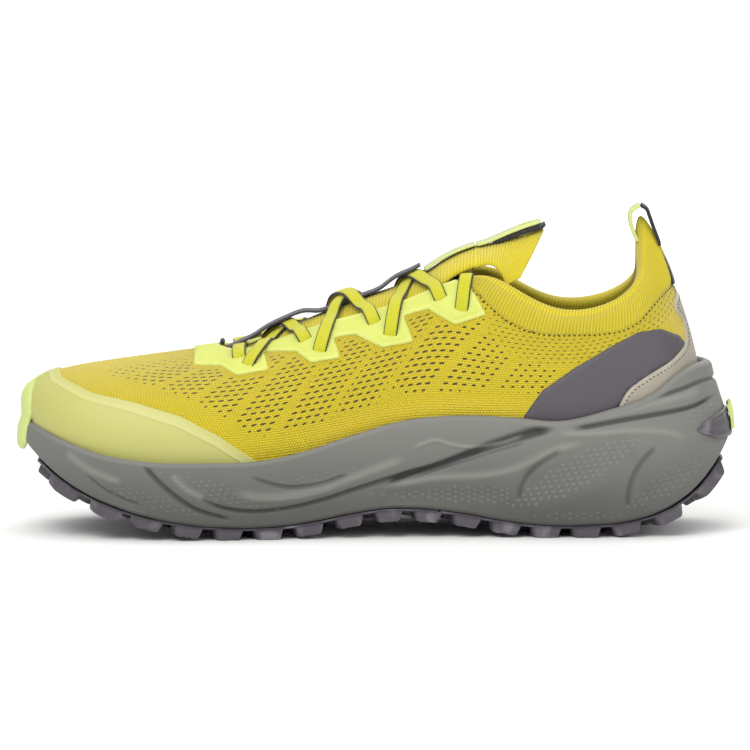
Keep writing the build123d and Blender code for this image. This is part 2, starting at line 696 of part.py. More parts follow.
def ribbon(stations):
    """A flat lace through stations of (centre, outward normal)."""
    stations = smoothed(stations)
    wires = []
    for i, (center, normal) in enumerate(stations):
        before = stations[max(0, i - 1)][0]
        after = stations[min(len(stations) - 1, i + 1)][0]
        across = (after - before).cross(normal).normalized() * (LACE_WIDTH / 2)
        thick = across.cross(after - before).normalized() * (LACE / 2)
        corners = [center + across + thick, center - across + thick]
        corners += [center - across - thick, center + across - thick]
        wires.append(Wire.make_polygon(corners, close=True))
    return Solid.make_loft(wires, ruled=True)


def from_slot(slot, side, middle_x, side_lift):
    """Stations from a lace slot up to the throat edge, on the way to the ridge at middle_x."""
    above = GLUE_GAP + FILM + LACE_REST + LACE / 2 + LACE_ARCH
    point = on_upper(slot[0], slot[1], side)[0]
    share = 0.5
    for _ in range(20):
        edge_x = point.X + (middle_x - point.X) * share
        edge_y, edge_z = edge_at(edge_x)
        share = 1 - edge_y / abs(point.Y)
    stations = []
    for part in (0, 0.33, 0.66):
        x = slot[0] + (edge_x - slot[0]) * part
        z = slot[1] + (edge_z - slot[1]) * part
        place, normal = on_upper(x, z, side)
        stations.append((place + normal * above, normal))
    over_edge = (normal + Vector(0, 0, 0.5)).normalized()
    above += side_lift / 2
    return stations + [(Vector(edge_x, side * edge_y, edge_z) + over_edge * above, over_edge)]


def over_tongue(start_x, middle_x, end_x, lift, side_lift):
    """Stations across the tongue from the medial to the lateral edge."""
    stations = []
    throat = edge_at(middle_x)[0]
    for part in (0.66, 0.42, 0.21, 0, -0.21, -0.42, -0.66):
        y = part * throat
        reach = abs(part) * 0.8
        x = middle_x + ((start_x if y > 0 else end_x) - middle_x) * reach
        rise = lift if abs(part) < 0.5 else lift * 0.25 + side_lift
        center, normal = tongue_point(x, y, LACE_REST + LACE / 2 + rise)
        stations.append((center, normal))
    return stations


def lace_leg(start, finish, middle_x, lift, side_lift):
    """A lace from a medial slot over the tongue to a lateral slot."""
    medial = from_slot(start, 1, middle_x, side_lift)
    lateral = from_slot(finish, -1, middle_x, side_lift)
    middle = over_tongue(start[0], middle_x, finish[0], lift, side_lift)
    return ribbon(medial + middle + lateral[::-1])


with BuildPart() as lace_bar:
    medial = from_slot(BAR_SLOT, 1, BAR_SLOT[0], 0)[:3]
    lateral = from_slot(BAR_SLOT, -1, BAR_SLOT[0], 0)[:3]
    rows = BAR_ARCH + [(-y, z) for y, z in reversed(BAR_ARCH[:-1])]
    bridge = [(Vector(BAR_SLOT[0], y, z), Vector(0, y / BAR_CROWN, 1).normalized()) for y, z in rows]
    add(ribbon(medial + bridge + lateral[::-1]))
save(lace_bar.part, "lace_bar")

over_tape = WEBBING_LAYER + TAPE + LACE_OVER_TAPE
for number in range(3):
    lower = LOWER_SLOTS[number]
    upper = UPPER_SLOTS[number]
    base = over_tape if number == 1 else 0
    with BuildPart() as under_leg:
        add(lace_leg(lower, upper, CROSSINGS[number], base, SIDE_LIFTS[number]))
    save(under_leg.part, f"lace_leg_{number + 1}_under")
    with BuildPart() as over_leg:
        higher = base + LACE + LACE_REST
        add(lace_leg(upper, lower, CROSSINGS[number], higher, SIDE_LIFTS[number]))
    save(over_leg.part, f"lace_leg_{number + 1}_over")

for side, name in ((1, "medial"), (-1, "lateral")):
    above = GLUE_GAP + FILM + LACE_REST + LACE / 2
    slot, slot_normal = on_upper(*TAIL_SLOT, side)
    upper_point, upper_direction = on_upper(-37, 101, side)
    inward = Vector(0, -side, 0)
    stations = [
        (slot + slot_normal * above, slot_normal),
        (upper_point + upper_direction * above, upper_direction),
        (Vector(-38, side * 21.6, 108.6), Vector(0, side * 0.25, 1)),
    ]
    stations += [(Vector(x, side * y, z), inward) for x, y, z in TAIL_INSIDE]
    with BuildPart() as lace_tail:
        add(ribbon(stations))
    save(lace_tail.part, f"lace_tail_{name}")
    tip_x, tip_y, tip_z = TAIL_INSIDE[-1]
    with BuildPart() as aglet:
        with Locations((tip_x - 0.6, side * tip_y, tip_z - AGLET_LENGTH / 2 - 0.1)):
            Cylinder(AGLET, AGLET_LENGTH)
    save(aglet.part, f"aglet_{name}")

# ---------------------------------------------------------------- heel tape and loop
def loop_tape(curve, name):
    """A length of the heel's woven tape, centred on a run of (x, z)."""
    half = HEEL_TAPE / 2
    outer = []
    inner = []
    for i, (x, z) in enumerate(curve):
        before = curve[max(0, i - 1)]
        after = curve[min(len(curve) - 1, i + 1)]
        along = Vector(after[0] - before[0], 0, after[1] - before[1]).normalized()
        outer.append((x + along.Z * half, z - along.X * half))
        inner.append((x - along.Z * half, z + along.X * half))
    with BuildPart() as tape:
        with BuildSketch(Plane.XZ):
            with BuildLine():
                Spline(*outer)
                Polyline(outer[-1], inner[-1])
                Spline(*reversed(inner))
                Polyline(inner[0], outer[0])
            make_face()
        extrude(amount=LOOP_WIDTH / 2, both=True)
    save(tape.part, name)


loop_tape(LOOP_FRONT, "heel_loop_front")
loop_tape(LOOP_BACK, "heel_loop_back")

with BuildPart() as heel_tape:
    add(upper_band(GLUE_GAP, GLUE_GAP + HEEL_TAPE))
    with BuildSketch(Plane.YZ.offset(BACK)):
        with Locations((0, (HEEL_TAPE_LOW + HEEL_TAPE_HIGH) / 2)):
            Rectangle(LOOP_WIDTH, HEEL_TAPE_HIGH - HEEL_TAPE_LOW)
    extrude(amount=70, mode=Mode.INTERSECT)
save(heel_tape.part, "heel_tape")

# ---------------------------------------------------------------- inside the upper
def inside_layer(name, far, near, region, corners):
    """A layer round the heel, from near to far inside the knit, cut by a side-view region."""
    thin = 0.3
    start = KNIT + INSIDE_GAP
    with BuildPart() as layer:
        add(upper_band(-start - thin, -start, thin - far, -near, RING_HEIGHTS[2:]))
        add(side_prism(region, corners), mode=Mode.INTERSECT)
    save(layer.part, name)


padding_corners = [(BACK, 88), (BACK, PADDING_TOP), (PADDING_LOW[0][0], PADDING_TOP)]
inside_layer("collar_padding", PADDING, 0.0, PADDING_LOW, padding_corners)
counter_corners = [(BACK, 76), (BACK, COUNTER_LOW), (-74, COUNTER_LOW)]
inside_layer("heel_counter", 1.9, 0.1, COUNTER_TOP, counter_corners)

with BuildPart() as toe_puff:
    add(upper_band(-KNIT - INSIDE_GAP - 1, -KNIT - INSIDE_GAP, heights=RING_HEIGHTS[1:]))
    add(side_prism(TOE_PUFF_EDGE, [(170, 80), (170, 47)]), mode=Mode.INTERSECT)
save(toe_puff.part, "toe_puff")
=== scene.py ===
"""Looks of the knit running shoe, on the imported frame.

Sizes are in millimetres in the frame's own axes (+X toe, +Y medial, +Z up) and turn into metres
when a mesh is made. The upper's surface uses the same control rows as the solid model.
"""

import math

import bpy
import numpy as np
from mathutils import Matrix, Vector
from mathutils.geometry import delaunay_2d_cdt


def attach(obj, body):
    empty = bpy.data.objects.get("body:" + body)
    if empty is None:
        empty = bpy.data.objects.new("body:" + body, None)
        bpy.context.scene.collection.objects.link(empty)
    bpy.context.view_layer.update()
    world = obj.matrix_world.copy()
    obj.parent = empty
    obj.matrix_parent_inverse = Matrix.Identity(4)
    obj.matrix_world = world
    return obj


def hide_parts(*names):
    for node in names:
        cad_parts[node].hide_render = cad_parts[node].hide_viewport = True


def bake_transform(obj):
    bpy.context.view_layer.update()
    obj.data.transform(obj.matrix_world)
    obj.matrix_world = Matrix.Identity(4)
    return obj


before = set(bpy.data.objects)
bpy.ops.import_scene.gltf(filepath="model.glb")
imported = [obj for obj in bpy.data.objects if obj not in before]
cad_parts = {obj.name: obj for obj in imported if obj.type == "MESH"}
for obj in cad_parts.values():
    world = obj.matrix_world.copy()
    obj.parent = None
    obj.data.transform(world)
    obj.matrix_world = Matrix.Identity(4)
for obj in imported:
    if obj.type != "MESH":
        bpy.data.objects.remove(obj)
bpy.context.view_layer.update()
MM = 0.001

# ---------------------------------------------------------------- design rows
# foot x, medial y, lateral y, edge x, edge y, edge z, low control z, bulge, lean, high control z
MERIDIANS = [
    (-137, 0, 0, -111.0, 0.0, 130, 76, 0, 0.42, 108),
    (-131, 20, 20, -110.5, 8.5, 119, 74, 0, 0.45, 104),
    (-117, 31, 31, -108.5, 18.0, 106, 70, 1, 0.50, 95),
    (-95, 35.5, 36.5, -96.0, 26.5, 96.5, 66, 2, 0.50, 86),
    (-70, 35.5, 37.5, -76.0, 29.0, 94.5, 64, 2, 0.50, 84),
    (-42, 34, 38.5, -58.0, 27.0, 102.5, 62, 3, 0.60, 88),
    (-20, 34, 40, -40.0, 21.5, 107.0, 62, 4, 0.65, 92),
    (5, 36, 43.5, -12.0, 19.5, 96.3, 60, 4, 0.60, 84.8),
    (32, 41, 47, 15.0, 18.5, 88.3, 56, 3, 0.60, 79),
    (60, 45, 49, 38.0, 16.5, 80.3, 53, 2, 0.60, 73.3),
    (88, 45.5, 46.5, 52.0, 13.0, 75.6, 54, 2, 0.65, 69.6),
    (115, 40, 38, 59.5, 9.0, 75.4, 58, 3, 0.75, 67.2),
    (134, 25.5, 21.5, 62.0, 4.5, 76.1, 65, 7, 0.85, 65.6),
    (142.5, 3, -3, 63.0, 0.0, 76.4, 69.5, 10, 0.90, 65.6),
]
HALF = len(MERIDIANS) - 1
ROUND = 2 * HALF
SOLE_OUTLINE = [
    (-147.8, 0, 0), (-145, 14, 14), (-137, 28, 28), (-121, 39.5, 39), (-95, 44, 45),
    (-60, 43.5, 46.5), (-25, 42, 48.5), (10, 45, 51), (45, 51.2, 54.4), (80, 55.3, 54),
    (110, 50, 47.5), (132, 35, 32), (144, 18, 13), (147.5, 3, -3),
]
SIDE_FLARE = [(0, -5.5), (12, -2), (28, 0), (44, -0.5), (56, -4), (64, -6.5), (76, -9)]
SOLE_BOTTOM = [
    (-147.5, 38), (-143, 31), (-135, 21), (-126, 14), (-116, 9.4), (-104, 6.4), (-88, 5),
    (-70, 5), (-52, 7), (-38, 9.6), (-22, 11.7), (-5, 12), (10, 10), (26, 6.8), (42, 5),
    (58, 5), (74, 6.2), (90, 8.8), (106, 13), (119, 18), (130, 24), (139, 31), (146.6, 38),
]
SOLE_RIM = [
    (-147.8, 70), (-143, 70), (-130, 66.5), (-116, 59), (-98, 53.4), (-76, 48.6), (-56, 50), (-34, 50.6),
    (-12, 48.6), (10, 42.5), (30, 36.2), (47, 33), (70, 32.4), (96, 33), (115, 35.6), (133, 41), (147.5, 47),
]
COLLAR_SEAM = [
    (-140, 106), (-135, 106), (-122, 101.5), (-115, 95), (-110, 89.5), (-104, 86), (-94, 84),
    (-82, 83.6), (-69, 84), (-60, 86.6), (-52, 91.5), (-45, 98), (-37, 105.5), (-30, 113),
]
TOE_CAP_EDGE = [(44, 26), (50, 33), (65, 43), (80, 50.5), (99, 55.8), (116.5, 59), (130, 64), (133.5, 70), (134.5, 82)]
HEEL_PANEL = [
    (-60, 44), (-61.5, 50), (-69, 60.5), (-82, 69.6), (-96.5, 78), (-108.5, 84), (-118, 85),
    (-126, 81.5), (-128.6, 77.8), (-122.5, 72), (-112, 66), (-104, 60), (-99, 50), (-98, 44),
]
HEEL_OVERLAY = [(-98, 44), (-99, 50), (-104, 60), (-112, 66), (-122.5, 72), (-128.4, 78), (-128, 86), (-124.3, 92), (-124.6, 96), (-127, 100.3)]
EYESTAY_SIDE = [
    (75, 70.0), (64, 70.0), (57, 66.6), (43.8, 68.9), (46, 75.6), (33, 76.2), (26.5, 71.8), (14.2, 73.7),
    (17, 81.6), (8.4, 83.0), (-2.7, 77.8), (-16, 80.2), (-12, 90.5), (-21.7, 93.4), (-33, 87.2), (-46, 91.4),
]
KNIT = 1.8
FILM = 0.8
GAP = 0.1

TONGUE_RIDGE = [
    (-71, 125.4), (-66, 124.1), (-60, 122.2), (-55, 120.7), (-50, 119.1), (-45, 117.9), (-41, 117.2),
    (-38, 116.2), (-33, 114.0), (-28, 111.3), (-25, 109.3), (-22, 107.3), (-19, 105.3), (-15.5, 103.4),
    (-10, 101.2), (0, 97.8), (10, 94.3), (20, 90.4), (30, 86.3), (40, 81.9), (50, 77.4), (60, 72.8), (70, 68.1),
]
BAR_SLOT = (56.0, 72.6)
UPPER_SLOTS = [(28.4, 80.0), (0, 87.2), (-27.5, 97.2)]
LOWER_SLOTS = [(52.3, 70.4), (22.9, 76.3), (-6.4, 83.0)]
TAIL_SLOT = (-36, 94)
CROSSINGS = [36.5, 11.5, -15.5]
LACE_WIDTH, LACE = 5.8, 1.5
TAPE = 1.2
WEBBING_LIFTS = [(56, 1.9), (36.5, 3.5), (-15.5, 3.5)]


# ---------------------------------------------------------------- curves and surfaces
def footbed_z(x):
    return 33 - 11.5 / (1 + np.exp((15 - x) / 14)) + 0.0042 * np.maximum(0.0, x - 75) ** 2


def around(rows):
    return [(row, row[1]) for row in rows] + [(row, -row[2]) for row in rows[-2:0:-1]]


def cubic(rows, x):
    """Smooth height at x through rows of (x, value), without overshoot beyond the ends."""
    rows = np.array(rows, float)
    xs, ys = rows[:, 0], rows[:, 1]
    slopes = np.gradient(ys, xs)
    x = np.clip(np.asarray(x, float), xs[0], xs[-1])
    i = np.clip(np.searchsorted(xs, x) - 1, 0, len(xs) - 2)
    width = xs[i + 1] - xs[i]
    s = (x - xs[i]) / width
    return (
        ys[i] * (1 + 2 * s) * (1 - s) ** 2
        + slopes[i] * width * s * (1 - s) ** 2
        + ys[i + 1] * s * s * (3 - 2 * s)
        + slopes[i + 1] * width * s * s * (s - 1)
    )


def loop_tangents(points):
    """Tangents of the smooth closed curve through points, one knot apart."""
    count = len(points)
    matrix = 4 * np.eye(count) + np.roll(np.eye(count), 1, 0) + np.roll(np.eye(count), -1, 0)
    ahead = 3 * (np.roll(points, -1, 0) - np.roll(points, 1, 0))
    return np.linalg.solve(matrix, ahead)


def loop_point(points, tangents, place):
    place = np.asarray(place, float)
    index = np.floor(place).astype(int)
    s = (place - index)[..., None]
    a, b = index % len(points), (index + 1) % len(points)
    return (
        points[a] * (1 + 2 * s) * (1 - s) ** 2
        + tangents[a] * s * (1 - s) ** 2
        + points[b] * s * s * (3 - 2 * s)
        + tangents[b] * s * s * (s - 1)
    )


def control_rows():
    rows = []
    for row, foot_y in around(MERIDIANS):
        foot_x, _, _, edge_x, edge_y, edge_z, low_z, bulge, lean, high_z = row
        side = 1 if foot_y > 0 else -1
        foot = np.array([foot_x, foot_y, footbed_z(foot_x) + 1.2])
        edge = np.array([edge_x, side * edge_y, edge_z], float)
        outward = np.array([foot[0] - edge[0], foot[1] - edge[1], 0])
        low = np.array([foot[0], foot[1], low_z]) + outward / np.linalg.norm(outward) * bulge
        high = np.array([edge[0], edge[1], high_z]) + outward * lean
        rows.append(np.concatenate([foot, low, high, edge]))
    return np.array(rows)


CONTROLS = control_rows()
CONTROL_TANGENTS = loop_tangents(CONTROLS)


def upper(u, t):
    """Points of the upper's surface: u counts meridians from the heel, t runs from foot to edge."""
    u, t = np.broadcast_arrays(np.asarray(u, float), np.asarray(t, float))
    controls = loop_point(CONTROLS, CONTROL_TANGENTS, u).reshape(u.shape + (4, 3))
    s = 1 - t
    weights = np.stack([s**3, 3 * s * s * t, 3 * s * t * t, t**3], -1)
    return np.einsum("...k,...kd->...d", weights, controls)


def unit(v):
    return v / np.maximum(np.linalg.norm(v, axis=-1, keepdims=True), 1e-9)


def upper_frame(u, t):
    """Unit vectors of the surface: outward normal and the direction up the meridian."""
    up = upper(u, np.asarray(t) + 0.004) - upper(u, np.asarray(t) - 0.004)
    along = upper(np.asarray(u) + 0.02, t) - upper(np.asarray(u) - 0.02, t)
    return unit(np.cross(up, along)), unit(up)


def upper_at(u, t, offset):
    return upper(u, t) + upper_frame(u, t)[0] * np.asarray(offset)[..., None]


GRID_U = np.linspace(0, ROUND, ROUND * 16 + 1)[:, None]
GRID_T = np.linspace(0.02, 1.0, 120)[None, :]
GRID = upper(GRID_U, GRID_T)


def on_upper(x, z, side):
    """(u, t) of the surface points nearest to places in the side view, on one side."""
    lo, hi = (0, HALF * 16) if side > 0 else (HALF * 16, ROUND * 16)
    part = GRID[lo : hi + 1]
    found = []
    for px, pz in zip(np.ravel(x), np.ravel(z)):
        miss = (part[..., 0] - px) ** 2 + (part[..., 2] - pz) ** 2
        i, j = np.unravel_index(np.argmin(miss), miss.shape)
        spot = np.array([GRID_U[lo + i, 0], GRID_T[0, j]])
        for _ in range(5):
            here = upper(*spot)[[0, 2]]
            du = (upper(spot[0] + 0.01, spot[1])[[0, 2]] - here) / 0.01
            dt = (upper(spot[0], spot[1] + 0.005)[[0, 2]] - here) / 0.005
            jac = np.array([du, dt]).T
            step = np.linalg.lstsq(jac, np.array([px, pz]) - here, rcond=1e-3)[0]
            spot = spot + np.clip(step, -0.25, 0.25) * 0.9
            spot[0] = np.clip(spot[0], 0 if side > 0 else HALF, HALF if side > 0 else ROUND)
            spot[1] = np.clip(spot[1], 0.02, 1.0)
        found.append(spot)
    return np.array(found)


def crossing(u, above, low=0.02, high=1.0):
    """For each u, the t where the test above(x, z) turns from negative to positive."""
    a, b = np.full(np.shape(u), low), np.full(np.shape(u), high)
    top = upper(u, b)
    inside = above(top[..., 0], top[..., 2]) > 0
    for _ in range(30):
        middle = (a + b) / 2
        p = upper(u, middle)
        positive = above(p[..., 0], p[..., 2]) > 0
        b = np.where(positive, middle, b)
        a = np.where(positive, a, middle)
    return np.where(inside, b, high)


def smooth_step(value, low, high):
    s = np.clip((value - low) / (high - low), 0, 1)
    return s * s * (3 - 2 * s)


def polyline_distance(x, z, line):
    """Distance from places in a plane to a polyline, and on which side they lie (+1 above)."""
    best = np.full(np.shape(x), 1e9)
    sign = np.ones(np.shape(x))
    for (ax, az), (bx, bz) in zip(line, line[1:]):
        dx, dz = bx - ax, bz - az
        s = np.clip(((x - ax) * dx + (z - az) * dz) / (dx * dx + dz * dz), 0, 1)
        gap = np.hypot(x - ax - s * dx, z - az - s * dz)
        cross = dx * (z - az) - dz * (x - ax)
        closer = gap < best
        best = np.where(closer, gap, best)
        sign = np.where(closer, np.sign(cross), sign)
    return best, sign


def through(points, steps=6):
    """A smooth open curve through points, as more points."""
    points = np.array(points, float)
    padded = np.vstack([2 * points[0] - points[1], points, 2 * points[-1] - points[-2]])
    result = []
    for i in range(len(points) - 1):
        a, b, c, d = padded[i : i + 4]
        for s in np.arange(steps) / steps:
            result.append(0.5 * (2 * b + (c - a) * s + (2 * a - 5 * b + 4 * c - d) * s**2 + (3 * b - a - 3 * c + d) * s**3))
    return np.array(result + [points[-1]])


def resampled(points, spacing):
    """Points along a polyline at an even spacing, ends kept."""
    points = np.array(points, float)
    lengths = np.concatenate([[0], np.cumsum(np.linalg.norm(np.diff(points, axis=0), axis=1))])
    count = max(2, int(round(lengths[-1] / spacing)) + 1)
    at = np.linspace(0, lengths[-1], count)
    return np.stack([np.interp(at, lengths, points[:, k]) for k in range(points.shape[1])], 1)


# ---------------------------------------------------------------- meshes
def make_piece(name, points, faces, materials, body, replaces=(), uv=None, values=None, face_slots=None):
    """A mesh piece from millimetre points, with its material slots, UVs and point values."""
    mesh = bpy.data.meshes.new(name)
    points = np.asarray(points, float) * MM
    mesh.from_pydata(points.tolist(), [], [tuple(int(i) for i in f) for f in faces])
    for material in materials:
        mesh.materials.append(material)
    mesh.polygons.foreach_set("use_smooth", [True] * len(mesh.polygons))
    if face_slots is not None:
        mesh.polygons.foreach_set("material_index", [int(i) for i in face_slots])
    if uv is not None:
        layer = mesh.uv_layers.new(name="UVMap")
        corners = np.empty(len(mesh.loops), int)
        mesh.loops.foreach_get("vertex_index", corners)
        layer.data.foreach_set("uv", np.asarray(uv, float)[corners].ravel())
    for key, value in (values or {}).items():
        attribute = mesh.attributes.new(key, "FLOAT", "POINT")
        attribute.data.foreach_set("value", np.asarray(value, float).ravel())
    mesh.validate()
    mesh.update()
    piece = bpy.data.objects.new(name, mesh)
    bpy.context.scene.collection.objects.link(piece)
    if body is not None:
        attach(piece, body)
    if replaces:
        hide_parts(*replaces)
    return piece


def grid_faces(rows, cols, wrap_rows=False, wrap_cols=False, start=0, flip=False):
    """Quads of a grid whose vertices run row by row."""
    i = np.arange(rows if wrap_rows else rows - 1)
    j = np.arange(cols if wrap_cols else cols - 1)
    i, j = np.meshgrid(i, j, indexing="ij")
    i2, j2 = (i + 1) % rows, (j + 1) % cols
    quads = np.stack([i * cols + j, i2 * cols + j, i2 * cols + j2, i * cols + j2], -1).reshape(-1, 4) + start
    return quads[:, ::-1] if flip else quads


def fan(ring, start, flip=False):
    """One face that closes a ring of vertices."""
    face = [start + i for i in ring]
    return [face[::-1] if flip else face]


def tube_piece(name, sections, materials, body, replaces=(), closed=False, values=None, face_slots=None, uv=None):
    """A piece from rows of closed sections (rows, section points, 3), with capped ends."""
    sections = np.asarray(sections, float)
    rows, cols = sections.shape[:2]
    faces = [tuple(f) for f in grid_faces(rows, cols, closed, True)]
    slots = list(face_slots) if face_slots is not None else None
    if not closed:
        faces += fan(range(cols), 0) + fan(range(cols), (rows - 1) * cols, True)
        if slots is not None:
            slots += [0, 0]
    return make_piece(name, sections.reshape(-1, 3), faces, materials, body, replaces, uv, values, slots)


def path_frames(points, normals):
    """Unit tangent, sideways and outward vectors along a path."""
    points = np.asarray(points, float)
    tangent = unit(np.gradient(points, axis=0))
    normals = np.asarray(normals, float)
    side = unit(np.cross(tangent, normals))
    return tangent, side, unit(np.cross(side, tangent))


def flat_section(width, thick, count=16, power=3.0):
    """A flat rounded section as (sideways, outward) offsets."""
    angle = np.arange(count) * 2 * math.pi / count
    c, s = np.cos(angle), np.sin(angle)
    x = np.sign(c) * np.abs(c) ** (2 / power) * width / 2
    y = np.sign(s) * np.abs(s) ** (2 / power) * thick / 2
    return np.stack([x, y], 1)


def ribbon_sections(points, normals, width, thick, count=16, power=3.0):
    _, side, out = path_frames(points, normals)
    section = flat_section(1, 1, count, power)
    width = np.broadcast_to(width, len(points))[:, None, None]
    thick = np.broadcast_to(thick, len(points))[:, None, None]
    return (
        np.asarray(points)[:, None, :]
        + side[:, None, :] * section[None, :, 0:1] * width
        + out[:, None, :] * section[None, :, 1:2] * thick
    )


# ---------------------------------------------------------------- materials
class Nodes:
    """A short way to write a material's node tree."""

    def __init__(self, name, roughness=0.6):
        self.material = bpy.data.materials.new(name)
        self.material.use_nodes = True
        self.tree = self.material.node_tree
        self.shader = self.tree.nodes["Principled BSDF"]
        self.shader.inputs["Roughness"].default_value = roughness

    def add(self, kind, **settings):
        node = self.tree.nodes.new(kind)
        for key, value in settings.items():
            setattr(node, key, value)
        return node

    def put(self, socket, value):
        if isinstance(value, bpy.types.NodeSocket):
            self.tree.links.new(value, socket)
        else:
            socket.default_value = value

    def math(self, operation, a, b=0.0, c=0.0, clamp=False):
        node = self.add("ShaderNodeMath", operation=operation, use_clamp=clamp)
        for socket, value in zip(node.inputs, (a, b, c)):
            self.put(socket, value)
        return node.outputs[0]

    def value(self, name):
        return self.add("ShaderNodeAttribute", attribute_name=name).outputs["Fac"]

    def uv(self):
        split = self.add("ShaderNodeSeparateXYZ")
        self.put(split.inputs[0], self.add("ShaderNodeUVMap", uv_map="UVMap").outputs[0])
        return split.outputs[0], split.outputs[1]

    def place(self):
        return self.add("ShaderNodeTexCoord").outputs["Object"]

    def noise(self, scale, detail=2.0, vector=None):
        node = self.add("ShaderNodeTexNoise")
        node.inputs["Scale"].default_value = scale
        node.inputs["Detail"].default_value = detail
        self.put(node.inputs["Vector"], vector or self.place())
        return node.outputs["Fac"]

    def mix(self, amount, a, b):
        node = self.add("ShaderNodeMix", data_type="RGBA")
        self.put(node.inputs["Factor"], amount)
        for socket, value in ((node.inputs[6], a), (node.inputs[7], b)):
            self.put(socket, (*value, 1) if isinstance(value, tuple) and len(value) == 3 else value)
        return node.outputs[2]

    def ramp(self, value, low, high):
        node = self.add("ShaderNodeMapRange", interpolation_type="SMOOTHSTEP")
        for socket, number in zip(node.inputs, (value, low, high)):
            self.put(socket, number)
        return node.outputs[0]

    def bump(self, height, distance, strength=1.0, under=None):
        node = self.add("ShaderNodeBump")
        node.inputs["Strength"].default_value = strength
        node.inputs["Distance"].default_value = distance * MM
        self.put(node.inputs["Height"], height)
        if under is not None:
            self.put(node.inputs["Normal"], under)
        return node.outputs[0]

    def finish(self, color, roughness=None, normal=None, sheen=0.0):
        self.put(self.shader.inputs["Base Color"], (*color, 1) if isinstance(color, tuple) else color)
        if roughness is not None:
            self.put(self.shader.inputs["Roughness"], roughness)
        if normal is not None:
            self.put(self.shader.inputs["Normal"], normal)
        self.shader.inputs["Sheen Weight"].default_value = sheen
        return self.material


def linear(hex_color):
    """Linear colour of a hex string."""
    parts = [int(hex_color[i : i + 2], 16) / 255 for i in (0, 2, 4)]
    return tuple(p / 12.92 if p <= 0.04045 else ((p + 0.055) / 1.055) ** 2.4 for p in parts)


YELLOW, YELLOW_DEEP, YELLOW_DARK = linear("E3D013"), linear("B5A108"), linear("3E3404")
# Dark brown of the knit's inside: painted shade on the yellow knit.
LINING_SHADE_COLOR = linear("6E4209")


def stitch_height(n, u, v, pitch_u, pitch_v):
    """Height of small knit loops on a half-drop grid, 0 to 1, in UV millimetres."""
    row = n.math("DIVIDE", v, pitch_v)
    shift = n.math("MULTIPLY", n.math("MODULO", n.math("FLOOR", row), 2.0), 0.5)
    column = n.math("ADD", n.math("DIVIDE", u, pitch_u), shift)
    across = n.math("ABSOLUTE", n.math("SINE", n.math("MULTIPLY", column, math.pi)))
    down = n.math("ABSOLUTE", n.math("SINE", n.math("MULTIPLY", row, math.pi)))
    return n.math("MULTIPLY", across, down)


def slit_mask(n, u, v, pitch_u, pitch_v, length, height, drift, strength):
    """Dark slits in slanted columns: 1 inside a slit, in UV millimetres."""
    row = n.math("DIVIDE", v, pitch_v)
    column = n.math("ADD", n.math("DIVIDE", u, pitch_u), n.math("MULTIPLY", n.math("FLOOR", row), drift))
    dx = n.math("MULTIPLY", n.math("SUBTRACT", n.math("FRACT", column), 0.5), pitch_u)
    dy = n.math("MULTIPLY", n.math("SUBTRACT", n.math("FRACT", row), 0.5), pitch_v)
    dy = n.math("ADD", dy, n.math("MULTIPLY", dx, 0.12))
    reach = n.math("MULTIPLY", strength, length)
    x = n.math("DIVIDE", dx, n.math("MAXIMUM", reach, 0.01))
    y = n.math("DIVIDE", dy, height)
    distance = n.math("ADD", n.math("POWER", n.math("ABSOLUTE", x), 3.0), n.math("MULTIPLY", y, y))
    return n.math("MULTIPLY", n.ramp(distance, 1.15, 0.55), n.ramp(strength, 0.2, 0.4))


def knit_material():
    n = Nodes("knit_yellow", 0.82)
    u, v = n.uv()
    stitch = stitch_height(n, u, v, 1.15, 0.95)
    fine = stitch_height(n, u, v, 0.58, 0.5)
    slits = slit_mask(n, u, v, 3.7, 2.55, 1.2, 0.43, 0.36, n.value("slits"))
    band = n.math("FRACT", n.math("DIVIDE", n.math("ADD", u, n.math("MULTIPLY", v, 0.5)), 21.5))
    band = n.math("MULTIPLY", n.ramp(band, 0.15, 0.17), n.ramp(band, 0.999, 0.985))
    slits = n.math("MULTIPLY", slits, band)
    dots = slit_mask(n, u, v, 3.1, 2.2, 0.75, 0.34, 0.35, n.value("dots"))
    open_part = n.math("MAXIMUM", slits, n.math("MULTIPLY", dots, 0.75))
    patchy = n.noise(260.0, 3.0)
    color = n.mix(n.math("MULTIPLY", stitch, 0.9), YELLOW_DEEP, YELLOW)
    color = n.mix(n.math("MULTIPLY", n.ramp(patchy, 0.45, 0.75), 0.35), color, linear("C9AA10"))
    color = n.mix(n.math("MULTIPLY", n.value("soft"), 0.5), color, linear("E0C62C"))
    # Painted shade: the slits and dots are openings, coloured dark as the shade inside them.
    color = n.mix(open_part, color, YELLOW_DARK)
    height = n.math("SUBTRACT", n.math("ADD", stitch, n.math("MULTIPLY", fine, 0.35)), n.math("MULTIPLY", open_part, 2.2))
    return n.finish(color, 0.82, n.bump(height, 0.45, 0.8), 0.25)


def rib_material(name, light, deep, sheen=0.3):
    """Ribbed knit: the ribs are real, and this adds their fine stitches and painted shade in the rib valleys, from the
    valley value.
    """
    n = Nodes(name, 0.85)
    u, v = n.uv()
    stitch = stitch_height(n, u, v, 1.05, 0.8)
    # Painted shade: the valleys between the ribs darken towards deep.
    tone = n.mix(n.value("valley"), light, deep)
    color = n.mix(n.math("MULTIPLY", stitch, 0.55), tone, light)
    color = n.mix(n.math("MULTIPLY", n.noise(140.0, 3.0), 0.18), color, deep)
    return n.finish(color, 0.85, n.bump(stitch, 0.3, 0.7), sheen)


def film_material(name, base, edge, worn=0.12, roughness=0.5):
    """Bonded film: matt, faintly grained, paler along its edges."""
    n = Nodes(name, roughness)
    grain = n.noise(1800.0, 2.0)
    broad = n.noise(45.0, 2.0)
    color = n.mix(n.math("MULTIPLY", broad, worn), base, edge)
    color = n.mix(n.value("border"), color, edge)
    rough = n.math("ADD", roughness - 0.08, n.math("MULTIPLY", grain, 0.16))
    return n.finish(color, rough, n.bump(grain, 0.04, 0.5))


